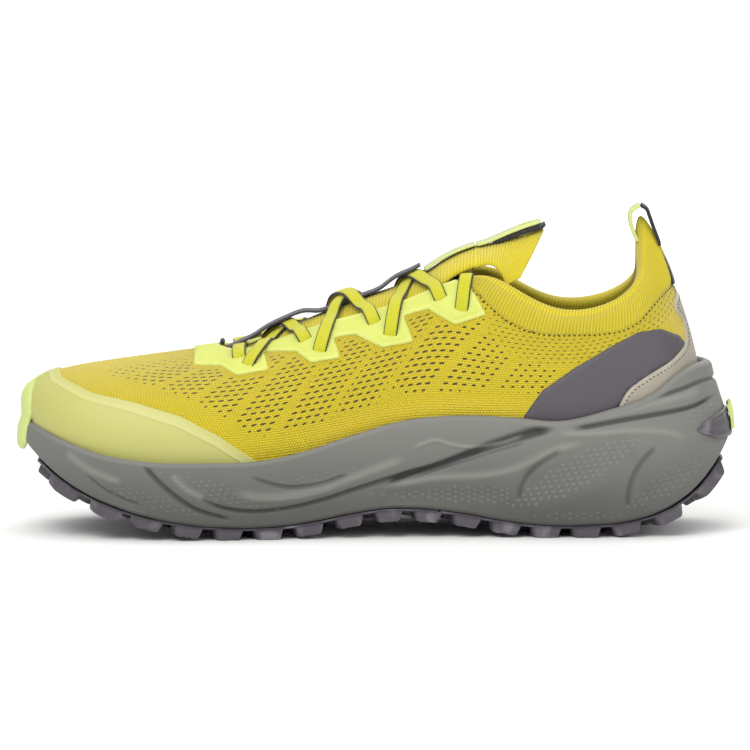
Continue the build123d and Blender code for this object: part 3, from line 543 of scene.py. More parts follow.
def foam_material():
    n = Nodes("foam_grey", 0.62)
    grain = n.noise(2200.0, 2.0)
    broad = n.noise(30.0, 3.0)
    # Painted light: the foam is darker towards the bottom and lighter towards the top, as the lamps fall.
    split = n.add("ShaderNodeSeparateXYZ")
    n.put(split.inputs[0], n.place())
    tone = n.mix(n.ramp(split.outputs[2], 0.004, 0.05), linear("4C4C49"), linear("74746F"))
    color = n.mix(n.math("MULTIPLY", broad, 0.3), tone, linear("5C5C59"))
    # Painted shade in the grooves and on the underside, from the groove value.
    color = n.mix(n.math("MULTIPLY", n.value("groove"), 0.95), color, linear("2E2E30"))
    # Painted highlight on the ridges, the dots and the rim's top, from the ridge value.
    color = n.mix(n.math("MULTIPLY", n.value("ridge"), 0.45), color, linear("8B8C84"))
    rough = n.math("ADD", 0.55, n.math("MULTIPLY", grain, 0.15))
    return n.finish(color, rough, n.bump(grain, 0.05, 0.5))


def rubber_material(name, base, worn_color, roughness=0.5, worn=0.5):
    n = Nodes(name, roughness)
    grain = n.noise(900.0, 3.0)
    scuff = n.ramp(n.noise(120.0, 5.0), 0.5, 0.72)
    color = n.mix(n.math("MULTIPLY", scuff, worn), base, worn_color)
    rough = n.math("ADD", roughness - 0.1, n.math("MULTIPLY", grain, 0.3))
    return n.finish(color, rough, n.bump(grain, 0.12, 0.5))


def woven_material(name, base, deep, pitch_u=0.9, pitch_v=0.55, edge=None, roughness=0.75):
    """Woven tape or lace: a fine diagonal weave, with another colour along its edges."""
    n = Nodes(name, roughness)
    u, v = n.uv()
    slanted = n.math("ADD", u, n.math("MULTIPLY", v, 0.35))
    weave = stitch_height(n, slanted, v, pitch_u, pitch_v)
    color = n.mix(n.math("MULTIPLY", weave, 0.9), deep, base)
    if edge is not None:
        color = n.mix(n.value("piping"), color, edge)
    return n.finish(color, roughness, n.bump(weave, 0.22, 0.8), 0.2)


def plain_grain(name, base, deep, scale=400.0, roughness=0.7, bump=0.15):
    n = Nodes(name, roughness)
    grain = n.noise(scale, 4.0)
    color = n.mix(n.math("MULTIPLY", grain, 0.6), base, deep)
    return n.finish(color, roughness, n.bump(grain, bump, 0.6))


KNIT_YELLOW = knit_material()
COLLAR_RIB = rib_material("collar_rib", linear("D6C61A"), linear("B29E0C"))
TONGUE_RIB = rib_material("tongue_rib", linear("D8C81C"), linear("B4A20E"))
# Painted shade: the inside of the yellow knit and collar, coloured dark brown.
SHADED_LINING_RIB = rib_material("lining_rib_painted_shade", linear("7A4A0C"), linear("3E2204"), 0.1)
TOE_FILM = film_material("toe_film", linear("B5B364"), linear("BEBC76"))
EYESTAY_FILM = film_material("eyestay_film", linear("C3CA58"), linear("CBD06C"))
DARK_FILM = film_material("dark_film", linear("4A454B"), linear("5C575E"), 0.25, 0.55)
TAUPE_FILM = film_material("taupe_film", linear("9A9384"), linear("A8A192"), 0.3)
FOAM = foam_material()
RUBBER = rubber_material("outsole_rubber", linear("4A454D"), linear("8E8A90"), 0.42)
NEON = rubber_material("neon_rubber", linear("C2D27E"), linear("D0DC9C"), 0.5, 0.25)
LACE_WOVEN = woven_material("lace_woven", linear("DCDC1C"), linear("B2AE10"), edge=linear("12120A"))
LIME_TAPE = woven_material("lime_tape", linear("CFD8B0"), linear("AEBB84"), 1.1, 0.7, edge=linear("CCD67E"))
DARK_TAPE = woven_material("dark_tape", linear("5C5C66"), linear("2C2C33"), 1.3, 0.7, edge=linear("3A3A40"))
BLACK_TAPE = woven_material("black_tape", linear("2C2C33"), linear("121216"), 1.1, 0.7, edge=linear("1A1A1E"))
THREAD = plain_grain("dark_thread", linear("2A2408"), linear("120E04"), 3000.0)
GREY_THREAD = plain_grain("grey_thread", linear("5A564E"), linear("2C2A26"), 3000.0)
INSOLE_KNIT = plain_grain("insole_fabric", linear("6A3E0C"), linear("3C2006"), 900.0, 0.9)
BOARD = plain_grain("board_felt", linear("C9C3B2"), linear("A39C8A"), 700.0, 0.9)
STIFFENER = plain_grain("stiffener_sheet", linear("D2CBB8"), linear("B0A894"), 300.0, 0.5)
TIP_PLASTIC = plain_grain("lace_tip", linear("1A1A1A"), linear("2E2E2E"), 500.0, 0.25, 0.03)
# Painted shade: dark dabs that stand in for the shade inside the collar seam's holes.
SLOT_DARK = plain_grain("slot_dark", linear("221C06"), linear("0E0B03"), 2000.0, 0.9)

for node_name, node_material in (
    ("strobel_board", BOARD), ("heel_counter", STIFFENER), ("toe_puff", STIFFENER),
    ("aglet_medial", TIP_PLASTIC), ("aglet_lateral", TIP_PLASTIC), ("heel_badge", NEON),
):
    if node_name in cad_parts:
        cad_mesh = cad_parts[node_name].data
        cad_mesh.materials.clear()
        cad_mesh.materials.append(node_material)


# ---------------------------------------------------------------- upper
def seam_above(x, z):
    return z - cubic(COLLAR_SEAM[::-1] if COLLAR_SEAM[0][0] > COLLAR_SEAM[-1][0] else COLLAR_SEAM, x)


def rounded_edge(u, t, thick, steps, power=2.0):
    """Points that roll from the outside over the edge at t to a depth of thick inside."""
    normal, up = upper_frame(u, t)
    center = upper(u, t) - normal * (thick / 2)[..., None]
    angles = np.linspace(0, math.pi, steps + 1)[1:]
    rings = []
    for angle in angles:
        c, s = math.cos(angle), math.sin(angle)
        out = math.copysign(abs(c) ** (2 / power), c)
        rings.append(center + (normal * out + up * abs(s) ** (2 / power)) * (thick / 2)[..., None])
    return rings


def girth_length(u, t):
    """Distance round the upper at height t, from the heel, for rising u."""
    points = upper(u, t)
    return np.concatenate([[0], np.cumsum(np.linalg.norm(np.diff(points, axis=0), axis=1))])


def build_knit():
    """The knit body, from inside the sole up to the collar seam and the throat edge, with its inside, coloured dark
    brown as painted shade.
    """
    u = np.arange(ROUND * 22) / 22
    top = crossing(u, seam_above)
    seam = top < 0.999
    edge_step = KNIT / 2 / np.linalg.norm(upper(u, 1.0) - upper(u, 0.96), axis=-1) * 0.04
    top = np.where(seam, top, 1 - edge_step)
    rows, kinds, t_rows = [], [], []
    for share in np.linspace(0, 1, 110):
        t = 0.03 + (top - 0.03) * share
        rows.append(upper(u, t))
        kinds.append(0)
        t_rows.append(t)
    for ring in rounded_edge(u, top, np.full(len(u), KNIT), 6):
        rows.append(ring)
        kinds.append(0)
        t_rows.append(top)
    # The inside, in the dark-brown lining colour, which is painted shade on the yellow knit.
    for share in np.linspace(0, 1, 34)[1:]:
        t = top + (0.12 - top) * share
        rows.append(upper_at(u, t, np.full(len(u), -KNIT)))
        kinds.append(1)
        t_rows.append(t)
    points = np.array(rows)
    t_rows = np.array(t_rows)
    around_mm = girth_length(np.append(u, ROUND), 0.6)[:-1]
    half = around_mm[len(u) // 2]
    around_mm = np.minimum(around_mm, 2 * half - around_mm)
    uv = np.stack([np.broadcast_to(around_mm, t_rows.shape), t_rows * 76.0], -1).reshape(-1, 2)
    x, z = points[..., 0], points[..., 2]
    rim = cubic(SOLE_RIM, x)
    above_rim = z - rim
    toe_gap, toe_side = polyline_distance(x, z, TOE_CAP_EDGE)
    clear_of_toe = np.where(toe_side > 0, toe_gap, 0)
    stay_gap, _ = polyline_distance(x, z, EYESTAY_SIDE)
    top_zone = smooth_step(x, 70, 50) + smooth_step(z, 68 + 0.14 * (130 - x), 61 + 0.14 * (130 - x))
    slits = (
        smooth_step(clear_of_toe, 5, 12) * smooth_step(above_rim, 7, 13) * smooth_step(x, -84, -72)
        * np.clip(top_zone, 0, 1) * smooth_step(stay_gap, 0.5, 2.0)
        * (1 - 0.9 * np.exp(-(((x + 8 - 0.35 * (z - 60)) / 5.5) ** 2)) * smooth_step(z, 66, 58))
    )
    weaker = 0.55 + 0.45 * smooth_step(x, -60, -20)
    seam_gap = -seam_above(x, z)
    dots = smooth_step(seam_gap, 15, 9) * smooth_step(seam_gap, 0.5, 2.5) * smooth_step(x, -42, -54)
    slits = slits * weaker * (1 - smooth_step(dots, 0.1, 0.4))
    soft = smooth_step(above_rim, 10, 3) * smooth_step(x, 40, 20)
    faces = grid_faces(len(rows), len(u), False, True, flip=True)
    slots = np.repeat(np.array(kinds[:-1]), len(u))
    piece = make_piece(
        "knit_upper", points.reshape(-1, 3), faces, [KNIT_YELLOW, SHADED_LINING_RIB], "shoe", ["upper_knit"],
        uv, {"slits": slits, "dots": dots, "soft": soft, "valley": np.zeros(x.size)}, slots,
    )
    return piece


def build_cuff():
    """The ribbed, padded collar with its rolled edge and the lining below it; the lining's dark brown is painted shade
    on the yellow knit, and the rib valleys carry painted shade.
    """
    full = np.linspace(-6.6, 6.6, 2401)
    top_t = crossing(full, seam_above)
    reach = full[top_t < 0.985]
    u = np.linspace(reach[0], reach[-1], 1500)
    seam_t = crossing(u, seam_above)
    tip = np.exp(-((u / 0.55) ** 2))
    end = smooth_step(np.abs(u), reach[-1], reach[-1] - 1.1)
    thick = 2.2 + (6.4 - 2.2) * (1 - tip) * end
    scale = np.linalg.norm(upper(u, 1.0) - upper(u, 0.96), axis=-1) / 0.04
    edge_t = np.maximum(1 - thick / 2 / scale, seam_t + 0.004)
    length = girth_length(u, edge_t)
    pitch = 1.35
    wave = 0.5 - 0.5 * np.cos(2 * math.pi * length / pitch)
    # Painted shade in the rib valleys, through the valley value.
    valley = 1 - wave
    rows, kinds, v_mm, valleys = [], [], [], []

    def add_row(points, kind, height, depth):
        rows.append(points)
        kinds.append(kind)
        v_mm.append(np.full(len(u), height))
        valleys.append(valley * depth)

    normal_edge, _ = upper_frame(u, edge_t)
    steps = 40
    add_row(upper_at(u, seam_t, np.full(len(u), -0.6)), 0, 0.0, 0.5)
    for k in range(steps + 1):
        share = k / steps
        t = seam_t + (edge_t - seam_t) * share
        swell = 0.35 + 1.25 * math.sin(math.pi * min(1.0, share * 1.02)) ** 0.8 * end
        swell = swell * smooth_step(share, -0.06, 0.05)
        rib = 0.34 * wave * smooth_step(share, 0.0, 0.08)
        add_row(upper_at(u, t, swell + rib - 0.2 * share), 0, share * 24.0, 1.0)
    for angle_index, ring in enumerate(rounded_edge(u, edge_t, thick, 14, 3.0)):
        lift = 0.3 * wave * math.sin(math.pi * (angle_index + 1) / 15)
        raised = ring + np.stack([np.zeros(len(u)), np.zeros(len(u)), lift], -1)
        add_row(raised, 0, 24.0 + angle_index, 1.0)
    # The lining rows below the rolled edge take the dark-brown painted-shade colour.
    low_t = np.minimum(0.34, seam_t * 0.8)
    for k in range(1, 41):
        share = k / 40
        t = edge_t + (low_t - edge_t) * share
        depth = thick + 0.6 * math.sin(math.pi * share)
        add_row(upper_at(u, t, -depth + 0.35 * wave), 0 if k < 6 else 1, 38.0 + share * 40, 1.0)
    points = np.array(rows)
    uv = np.stack([np.broadcast_to(length, points.shape[:2]), np.array(v_mm)], -1).reshape(-1, 2)
    faces = grid_faces(len(rows), len(u), flip=True)
    slots = np.repeat(np.array(kinds[:-1]), len(u) - 1)
    return make_piece(
        "collar_cuff_ribbed", points.reshape(-1, 3), faces, [COLLAR_RIB, SHADED_LINING_RIB], "shoe",
        ["collar_cuff", "collar_padding"], uv, {"valley": np.array(valleys)}, slots,
    )


# ---------------------------------------------------------------- bonded overlays
def to_uv(side_points, side):
    return on_upper([p[0] for p in side_points], [p[1] for p in side_points], side)


def inset(loop, distance):
    """A closed (u, t) loop moved inwards along the surface by a distance in millimetres."""
    points = upper(loop[:, 0], loop[:, 1])
    tangent = unit(np.roll(points, -1, 0) - np.roll(points, 1, 0))
    normal, _ = upper_frame(loop[:, 0], loop[:, 1])
    inward = unit(np.cross(normal, tangent))
    du = (upper(loop[:, 0] + 0.01, loop[:, 1]) - points) / 0.01
    dt = (upper(loop[:, 0], loop[:, 1] - 0.005) - points) / -0.005
    moved = []
    for k in range(len(loop)):
        jac = np.stack([du[k], dt[k]], 1)
        step = np.linalg.lstsq(jac, inward[k] * distance, rcond=None)[0]
        moved.append(loop[k] + step)
    return np.array(moved)


FLAT = np.array([24.0, 78.0])  # millimetres per unit of u and t, for laying out meshes


def loop_area(loop):
    x, y = loop[:, 0], loop[:, 1]
    return 0.5 * np.sum(x * np.roll(y, -1) - np.roll(x, -1) * y)


def inside_loop(points, loop):
    """Which points lie inside a closed loop, by counting crossings."""
    x, y = points[:, 0][:, None], points[:, 1][:, None]
    ax, ay = loop[:, 0][None], loop[:, 1][None]
    bx, by = np.roll(loop[:, 0], -1)[None], np.roll(loop[:, 1], -1)[None]
    cuts = ((ay > y) != (by > y)) & (x < (bx - ax) * (y - ay) / np.where(by == ay, 1e-12, by - ay) + ax)
    return (cuts.sum(1) % 2) == 1


def build_patch(name, loop, height, material, replaces=(), steps=((0.0, 0.45), (0.3, 0.85), (0.8, 1.0)), border=0.0, spacing=1.9, carve=None):
    """A thin raised piece on the upper inside a closed (u, t) loop, with rounded edges."""
    if loop_area(loop) < 0:
        loop = loop[::-1]
    rings = [inset(loop, distance) for distance, _ in steps]
    if border:
        rings.append(inset(loop, border))
    flat_rings = [ring * FLAT for ring in rings]
    low, high = flat_rings[0].min(0), flat_rings[0].max(0)
    gx, gy = np.meshgrid(np.arange(low[0], high[0], spacing), np.arange(low[1], high[1], spacing))
    grid = np.stack([gx.ravel(), gy.ravel()], 1)
    inner = flat_rings[len(steps) - 1]
    grid = grid[inside_loop(grid, inner)]
    gap = np.full(len(grid), 1e9)
    for ring in flat_rings[len(steps) - 1 :]:
        distance, _ = polyline_distance(grid[:, 0], grid[:, 1], np.vstack([ring, ring[:1]]))
        gap = np.minimum(gap, distance)
    grid = grid[gap > spacing * 0.45]
    coords, edges = [], []
    for ring in flat_rings:
        start = len(coords)
        coords += [Vector(p) for p in ring]
        edges += [(start + i, start + (i + 1) % len(ring)) for i in range(len(ring))]
    ring_count = len(coords)
    coords += [Vector(p) for p in grid]
    out = delaunay_2d_cdt(coords, edges, [], 0, 1e-5)
    flat, faces, origins = np.array([[p.x, p.y] for p in out[0]]), out[2], out[3]
    per_ring = len(loop)
    lift = np.ones(len(flat))
    edge_value = np.zeros(len(flat))
    outer = flat_rings[0]
    keep_vertex = inside_loop(flat, outer)
    for i, source in enumerate(origins):
        ring_ids = [s // per_ring for s in source if s < ring_count]
        if ring_ids:
            keep_vertex[i] = True
            ring_id = min(ring_ids)
            if ring_id < len(steps):
                lift[i] = steps[ring_id][1]
    centers = np.array([flat[list(f)].mean(0) for f in faces])
    keep = inside_loop(centers, outer)
    faces = [f for f, k in zip(faces, keep) if k]
    uv = flat / FLAT
    base = upper(uv[:, 0], uv[:, 1])
    loop3 = upper(loop[:, 0], loop[:, 1])
    from_edge = np.array([np.linalg.norm(loop3 - p, axis=1).min() for p in base])
    if border:
        edge_value = smooth_step(from_edge, border + 0.3, border - 0.3)
    offset = GAP + height * lift
    if carve is not None:
        offset = offset + carve(base, from_edge)
    top = upper_at(uv[:, 0], uv[:, 1], offset)
    # a skirt closes the sides down into the knit
    where = {}
    for i, source in enumerate(origins):
        for s in source:
            if s < per_ring:
                where[s] = i
    ring_top = [where[s] for s in range(per_ring)]
    skirt = upper_at(loop[:, 0], loop[:, 1], np.full(per_ring, -0.35))
    start = len(top)
    side_faces = [
        (ring_top[i], start + i, start + (i + 1) % per_ring, ring_top[(i + 1) % per_ring]) for i in range(per_ring)
    ]
    points = np.vstack([top, skirt])
    uv_mm = np.vstack([flat, flat_rings[0]])
    values = {"border": np.concatenate([edge_value, np.full(per_ring, 1.0 if border else 0.0)])}
    return make_piece(name, points, [tuple(f) for f in faces] + side_faces, [material], "shoe", replaces, uv_mm, values)


def build_toe_cap():
    """The toe cap as columns from the rim up to its edge, with a fine raised line inside the edge."""
    def above_edge(x, z):
        gap, side = polyline_distance(x, z, np.array(TOE_CAP_EDGE))
        return gap * side

    u = np.linspace(8.3, ROUND - 8.3, 420)
    edge_t = crossing(u, above_edge)
    scale = np.linalg.norm(upper(u, edge_t) - upper(u, edge_t - 0.02), axis=-1) / 0.02
    low_t = np.full(len(u), 0.04)
    keep = edge_t > low_t + 0.03
    u, edge_t, scale, low_t = u[keep], edge_t[keep], scale[keep], low_t[keep]
    depths = [-0.0, 0.0, 0.3, 0.8, 3.6, 4.0, 4.35, 4.7, 5.1]
    heights = [-0.35, 0.5, 0.86, 0.9, 0.9, 1.0, 1.12, 1.0, 0.82]
    rows = []
    border = []
    for depth, height in zip(depths, heights):
        t = np.maximum(edge_t - depth / scale, low_t)
        rows.append(upper_at(u, t, np.full(len(u), height)))
        border.append(np.full(len(u), 1.0 if 3.5 < depth < 4.8 else 0.3 if depth < 4.8 else 0.0))
    start = np.maximum(edge_t - depths[-1] / scale, low_t)
    for share in np.linspace(0, 1, 60)[1:]:
        t = start + (low_t - start) * share
        rows.append(upper_at(u, t, np.full(len(u), 0.82 + 0.08 * math.sin(math.pi * share))))
        border.append(np.full(len(u), 0.0))
    points = np.array(rows)
    faces = grid_faces(len(rows), len(u))
    return make_piece(
        "toe_cap_film", points.reshape(-1, 3), faces, [TOE_FILM], "shoe", ["toe_cap"],
        points.reshape(-1, 3)[:, [0, 2]], {"border": np.array(border)},
    )


def eyestay_loop():
    """The outline of the eyestay: the medial side, over the throat's toe end, and the lateral side."""
    medial_low = to_uv(resampled(EYESTAY_SIDE, 1.2), 1)
    lateral_low = to_uv(resampled(EYESTAY_SIDE, 1.2), -1)
    top_t = 0.992
    last = medial_low[-1]
    first = medial_low[0]
    heel_end = [last, np.array([6.25, top_t])]
    rising = resampled(np.array([heel_end[0] * FLAT, heel_end[1] * FLAT]), 1.2) / FLAT
    throat = np.stack([np.linspace(6.25, ROUND - 6.25, 300), np.full(300, top_t)], 1)
    lateral_rise = resampled(np.array([[ROUND - 6.25, top_t] * FLAT, lateral_low[-1] * FLAT]), 1.2) / FLAT
    front_u = np.linspace(lateral_low[0][0], first[0], 40)
    front_t = crossing(front_u, lambda x, z: 75 - x)
    front_t[0], front_t[-1] = lateral_low[0][1], first[1]
    front = np.stack([front_u, front_t], 1)
    loop = np.vstack([medial_low, rising[1:], throat[1:], lateral_rise[1:], lateral_low[::-1][1:], front[1:-1]])
    spaced = resampled(np.vstack([loop, loop[:1]]) * FLAT, 1.1)[:-1] / FLAT
    return spaced


def tab_lines(base, from_edge):
    """Fine engraved lines that follow the outline of each lace tab, a little inside it."""
    ridge = np.exp(-(((from_edge - 2.9) / 0.42) ** 2))
    valley = np.exp(-(((from_edge - 1.9) / 0.45) ** 2))
    throat_gap = np.abs(base[:, 1]) < 14 + 0.11 * (50 - base[:, 0])
    side = np.where(throat_gap, 0.0, 1.0)
    return (0.42 * ridge - 0.15 * valley) * side


def build_overlays():
    for side, name, node in ((1, "heel_panel_inner_side", "heel_panel_medial"), (-1, "heel_panel_outer_side", "heel_panel_lateral")):
        outline = resampled(np.vstack([HEEL_PANEL, HEEL_PANEL[:1]]), 1.3)[:-1]
        build_patch(name, to_uv(outline, side), 0.65, DARK_FILM, [node], border=0.0, spacing=2.4)
    edge = resampled(through(HEEL_OVERLAY, 4), 1.2)
    medial = to_uv(edge, 1)
    lateral = to_uv(edge, -1) - np.array([ROUND, 0])
    top_u = np.linspace(medial[-1][0], lateral[-1][0], 16)[1:-1]
    top = np.stack([top_u, np.interp(top_u, [lateral[-1][0], 0, medial[-1][0]], [lateral[-1][1], crossing(np.array([0.0]), lambda x, z: z - 101)[0], medial[-1][1]])], 1)
    low_u = np.linspace(lateral[0][0], medial[0][0], 90)[1:-1]
    low = np.stack([low_u, np.interp(low_u, [lateral[0][0], medial[0][0]], [lateral[0][1], medial[0][1]]) * 0 + min(medial[0][1], lateral[0][1])], 1)
    loop = np.vstack([medial, top, lateral[::-1], low])
    build_patch("heel_overlay_film", loop, 0.9, TAUPE_FILM, ["heel_overlay"], border=0.9, spacing=2.2)
    build_patch("eyestay_film", eyestay_loop(), 0.8, EYESTAY_FILM, ["eyestay"], spacing=1.0, carve=tab_lines, border=1.4)


def stitch_row(name, uv_path, spacing, length, width, height, material, body="shoe", lengthwise=True):
    """A row of small raised threads along a (u, t) path on the upper."""
    path = resampled(upper(uv_path[:, 0], uv_path[:, 1]), spacing)
    fine = upper(uv_path[:, 0], uv_path[:, 1])
    normals = upper_frame(uv_path[:, 0], uv_path[:, 1])[0]
    points, faces = [], []
    tangents = unit(np.gradient(path, axis=0))
    for p, tangent in zip(path, tangents):
        nearest = np.argmin(np.linalg.norm(fine - p, axis=1))
        normal = normals[nearest]
        across = unit(np.cross(normal, tangent))
        if not lengthwise:
            tangent, across = across, tangent
        start = len(points)
        for ring, lift in ((1.0, -0.1), (0.8, 0.5), (0.35, 0.8)):
            for k in range(8):
                angle = k * math.pi / 4
                offset = tangent * math.cos(angle) * length / 2 * ring + across * math.sin(angle) * width / 2 * ring
                points.append(p + normal * (height + lift * width * 0.5) + offset)
        for ring in range(2):
            for k in range(8):
                a = start + ring * 8
                faces.append((a + k, a + (k + 1) % 8, a + 8 + (k + 1) % 8, a + 8 + k))
        faces.append(tuple(start + 16 + k for k in range(8)))
    return make_piece(name, points, faces, [material], body)


def build_upper_stitches():
    seam_u = np.linspace(-5.85, 5.85, 500)
    seam_t = crossing(seam_u, seam_above) - 0.012
    # Painted shade: dark dabs stand in for the holes along the collar seam.
    stitch_row("collar_seam_holes", np.stack([seam_u, seam_t], 1), 2.1, 0.95, 0.7, 0.02, SLOT_DARK)
    edge = resampled(through(HEEL_OVERLAY, 4), 1.0)
    for side, name in ((1, "inner"), (-1, "outer")):
        loop = to_uv(edge, side)
        row = inset(np.vstack([loop, loop[::-1]]), 1.7)[: len(loop)] if side < 0 else inset(np.vstack([loop, loop[::-1]]), -1.7)[: len(loop)]
        stitch_row(f"heel_overlay_stitches_{name}", row[4:-3], 1.9, 1.0, 0.6, 1.0, GREY_THREAD)


build_knit()
build_cuff()
build_toe_cap()
build_overlays()
build_upper_stitches()


# ---------------------------------------------------------------- sole unit
def outline_loop(change):
    """The sole outline, moved out by change, as a smooth closed loop of (x, y) controls and tangents."""
    points = np.array([(row[0], y) for row, y in around(SOLE_OUTLINE)], float)
    ahead = unit(np.roll(points, -1, 0) - np.roll(points, 1, 0))
    moved = points + np.stack([-ahead[:, 1], ahead[:, 0]], 1) * change
    return moved, loop_tangents(moved)


def sole_point(u, z, extra=0.0):
    """A point of the sole's side wall at place u round the outline and height z."""
    u, z = np.broadcast_arrays(np.asarray(u, float), np.asarray(z, float))
    changes = cubic(SIDE_FLARE, z) + extra
    base, base_tangents = outline_loop(0.0)
    grown, grown_tangents = outline_loop(1.0)
    a = loop_point(base, base_tangents, u)
    b = loop_point(grown, grown_tangents, u)
    spot = a + (b - a) * changes[..., None]
    return np.concatenate([spot, z[..., None]], -1)


def sole_normal(u, z):
    along = sole_point(u + 0.02, z) - sole_point(u - 0.02, z)
    up = sole_point(u, z + 0.3) - sole_point(u, z - 0.3)
    return unit(np.cross(up, along))


# Each groove is a side-view line, its half width at the start and the end, and its depth.
GROOVES = [
    ([(-2, 22), (-14, 26.5), (-28, 31), (-45, 37.5), (-60, 42.6), (-75, 47.3)], 0.8, 2.3, 2.6),
    ([(-12, 24), (-30, 30), (-48, 35.6), (-64, 40.5)], 0.5, 0.7, 0.7),
    ([(-80, 45.5), (-90, 47), (-100.6, 48.9), (-110, 50.3), (-119, 51.6), (-132, 53.6), (-142, 57)], 1.0, 0.9, 1.3),
    ([(-101, 52.6), (-110, 56), (-119, 58.6), (-128, 61), (-137, 63.2), (-146, 62)], 0.7, 1.0, 1.0),
    ([(-59, 15), (-61, 23), (-67, 30.5), (-77, 36.8)], 0.9, 1.3, 0.9),
    ([(-104, 12), (-105, 21), (-109, 30), (-116, 38)], 0.9, 1.3, 0.8),
    ([(96, 33), (92, 28), (86, 22), (79, 16.5), (72, 12.5), (59, 8.5)], 1.1, 0.8, 1.2),
    ([(74, 19), (66, 15), (58, 12.8), (48, 12), (36, 13.2), (23, 16), (8, 20.5), (-8, 25.5), (-23, 30)], 0.7, 1.1, 1.2),
    ([(52, 27), (44, 24), (35, 22), (23, 23), (10, 27)], 0.7, 0.9, 0.8),
    ([(120, 27), (108, 19), (96, 14.5)], 0.8, 0.8, 0.6),
]
# Each ridge is a side-view line, its half width and its rise.
RIDGES = [
    ([(-14, 36.5), (-24, 40.5), (-32, 38.8), (-41, 37.9), (-52, 39.8), (-62, 43.4)], 0.8, 0.7),
    ([(-84, 50.2), (-96, 51.6), (-108, 54), (-122, 56.6), (-136, 59.5)], 1.7, 0.9),
    ([(-74, 43.2), (-90, 43.4), (-106, 44.4), (-120, 43.6), (-130, 40)], 1.4, 0.8),
    ([(84, 28), (78, 22), (70, 17.5)], 1.4, 0.7),
    ([(60, 20.5), (48, 18), (34, 18.5), (20, 21.5), (4, 27), (-14, 33.5)], 2.0, 1.0),
    ([(-2, 20.5), (-24, 24.8), (-44, 26), (-58, 29), (-74, 36.5), (-88, 40)], 1.6, 0.8),
    ([(128, 36), (118, 29), (104, 24)], 1.6, 0.7),
]
# Broad hollows and swells, given like the ridges.
SWELLS = [
    ([(-60, 21), (-78, 26), (-96, 33), (-108, 38)], 8.0, -1.5),
    ([(-62, 12), (-80, 17), (-98, 24)], 5.0, 0.9),
    ([(-110, 16), (-124, 25), (-138, 35)], 5.0, -1.1),
    ([(-2, 18), (-24, 17.5), (-54, 17.5)], 3.6, -0.9),
    ([(66, 26), (52, 21.5), (36, 17.5), (14, 22)], 4.0, 0.6),
    ([(110, 22), (92, 15)], 5.0, -0.7),
]
# Lens-shaped fields of raised dots: their ends, width, pitch and dot radius, and whether they start as a wedge.
DOT_FIELDS = [
    ((2, 18.4), (-56, 17.6), 8.0, 2.7, 0.48, True),
    ((-57, 13.5), (-109, 41), 13.0, 2.9, 0.62, False),
    ((-104, 13), (-143, 36), 9.5, 2.9, 0.5, False),
    ((-66, 9.2), (-106, 9.4), 3.4, 2.9, 0.42, False),
    ((-122, 46.6), (-142, 52.5), 4.5, 2.6, 0.42, False),
    ((88, 28.5), (40, 12.5), 7.0, 2.8, 0.46, False),
    ((118, 25), (72, 10.5), 6.5, 2.9, 0.42, False),
    ((38, 24), (-4, 30), 3.6, 2.7, 0.4, False),
]


def tapered_line(x, z, line, start_width, end_width):
    """How far each place is from a line, in units of a width that tapers along it."""
    line = through(line, 6)
    lengths = np.concatenate([[0], np.cumsum(np.linalg.norm(np.diff(line, axis=0), axis=1))])
    best = np.full(np.shape(x), 1e9)
    share = np.zeros(np.shape(x))
    for i in range(len(line) - 1):
        a, d = line[i], line[i + 1] - line[i]
        s = np.clip(((x - a[0]) * d[0] + (z - a[1]) * d[1]) / (d @ d), 0, 1)
        gap = np.hypot(x - a[0] - s * d[0], z - a[1] - s * d[1])
        closer = gap < best
        best = np.where(closer, gap, best)
        share = np.where(closer, (lengths[i] + s * (lengths[i + 1] - lengths[i])) / lengths[-1], share)
    fade = smooth_step(share, -0.001, 0.12) * smooth_step(share, 1.001, 0.9)
    return best / (start_width + (end_width - start_width) * share), fade


def dot_places():
    """Centres and radii of the raised dots in the side view."""
    places = []
    for start, end, width, pitch, radius, wedge in DOT_FIELDS:
        a, b = np.array(start, float), np.array(end, float)
        length = np.linalg.norm(b - a)
        along = (b - a) / length
        across = np.array([-along[1], along[0]])
        for i in range(int(length / pitch) + 1):
            share = i * pitch / length
            reach = width / 2 * (min(1.0, share * 1.4) if wedge else math.sin(math.pi * min(1.0, share)) ** 0.7)
            for j in range(-4, 5):
                offset = (j + 0.5 * (i % 2)) * pitch * 0.78
                if abs(offset) <= reach:
                    spot = a + along * (i * pitch) + across * (offset + 0.03 * width * math.sin(6 * share))
                    places.append((spot[0], spot[1], radius))
    return places


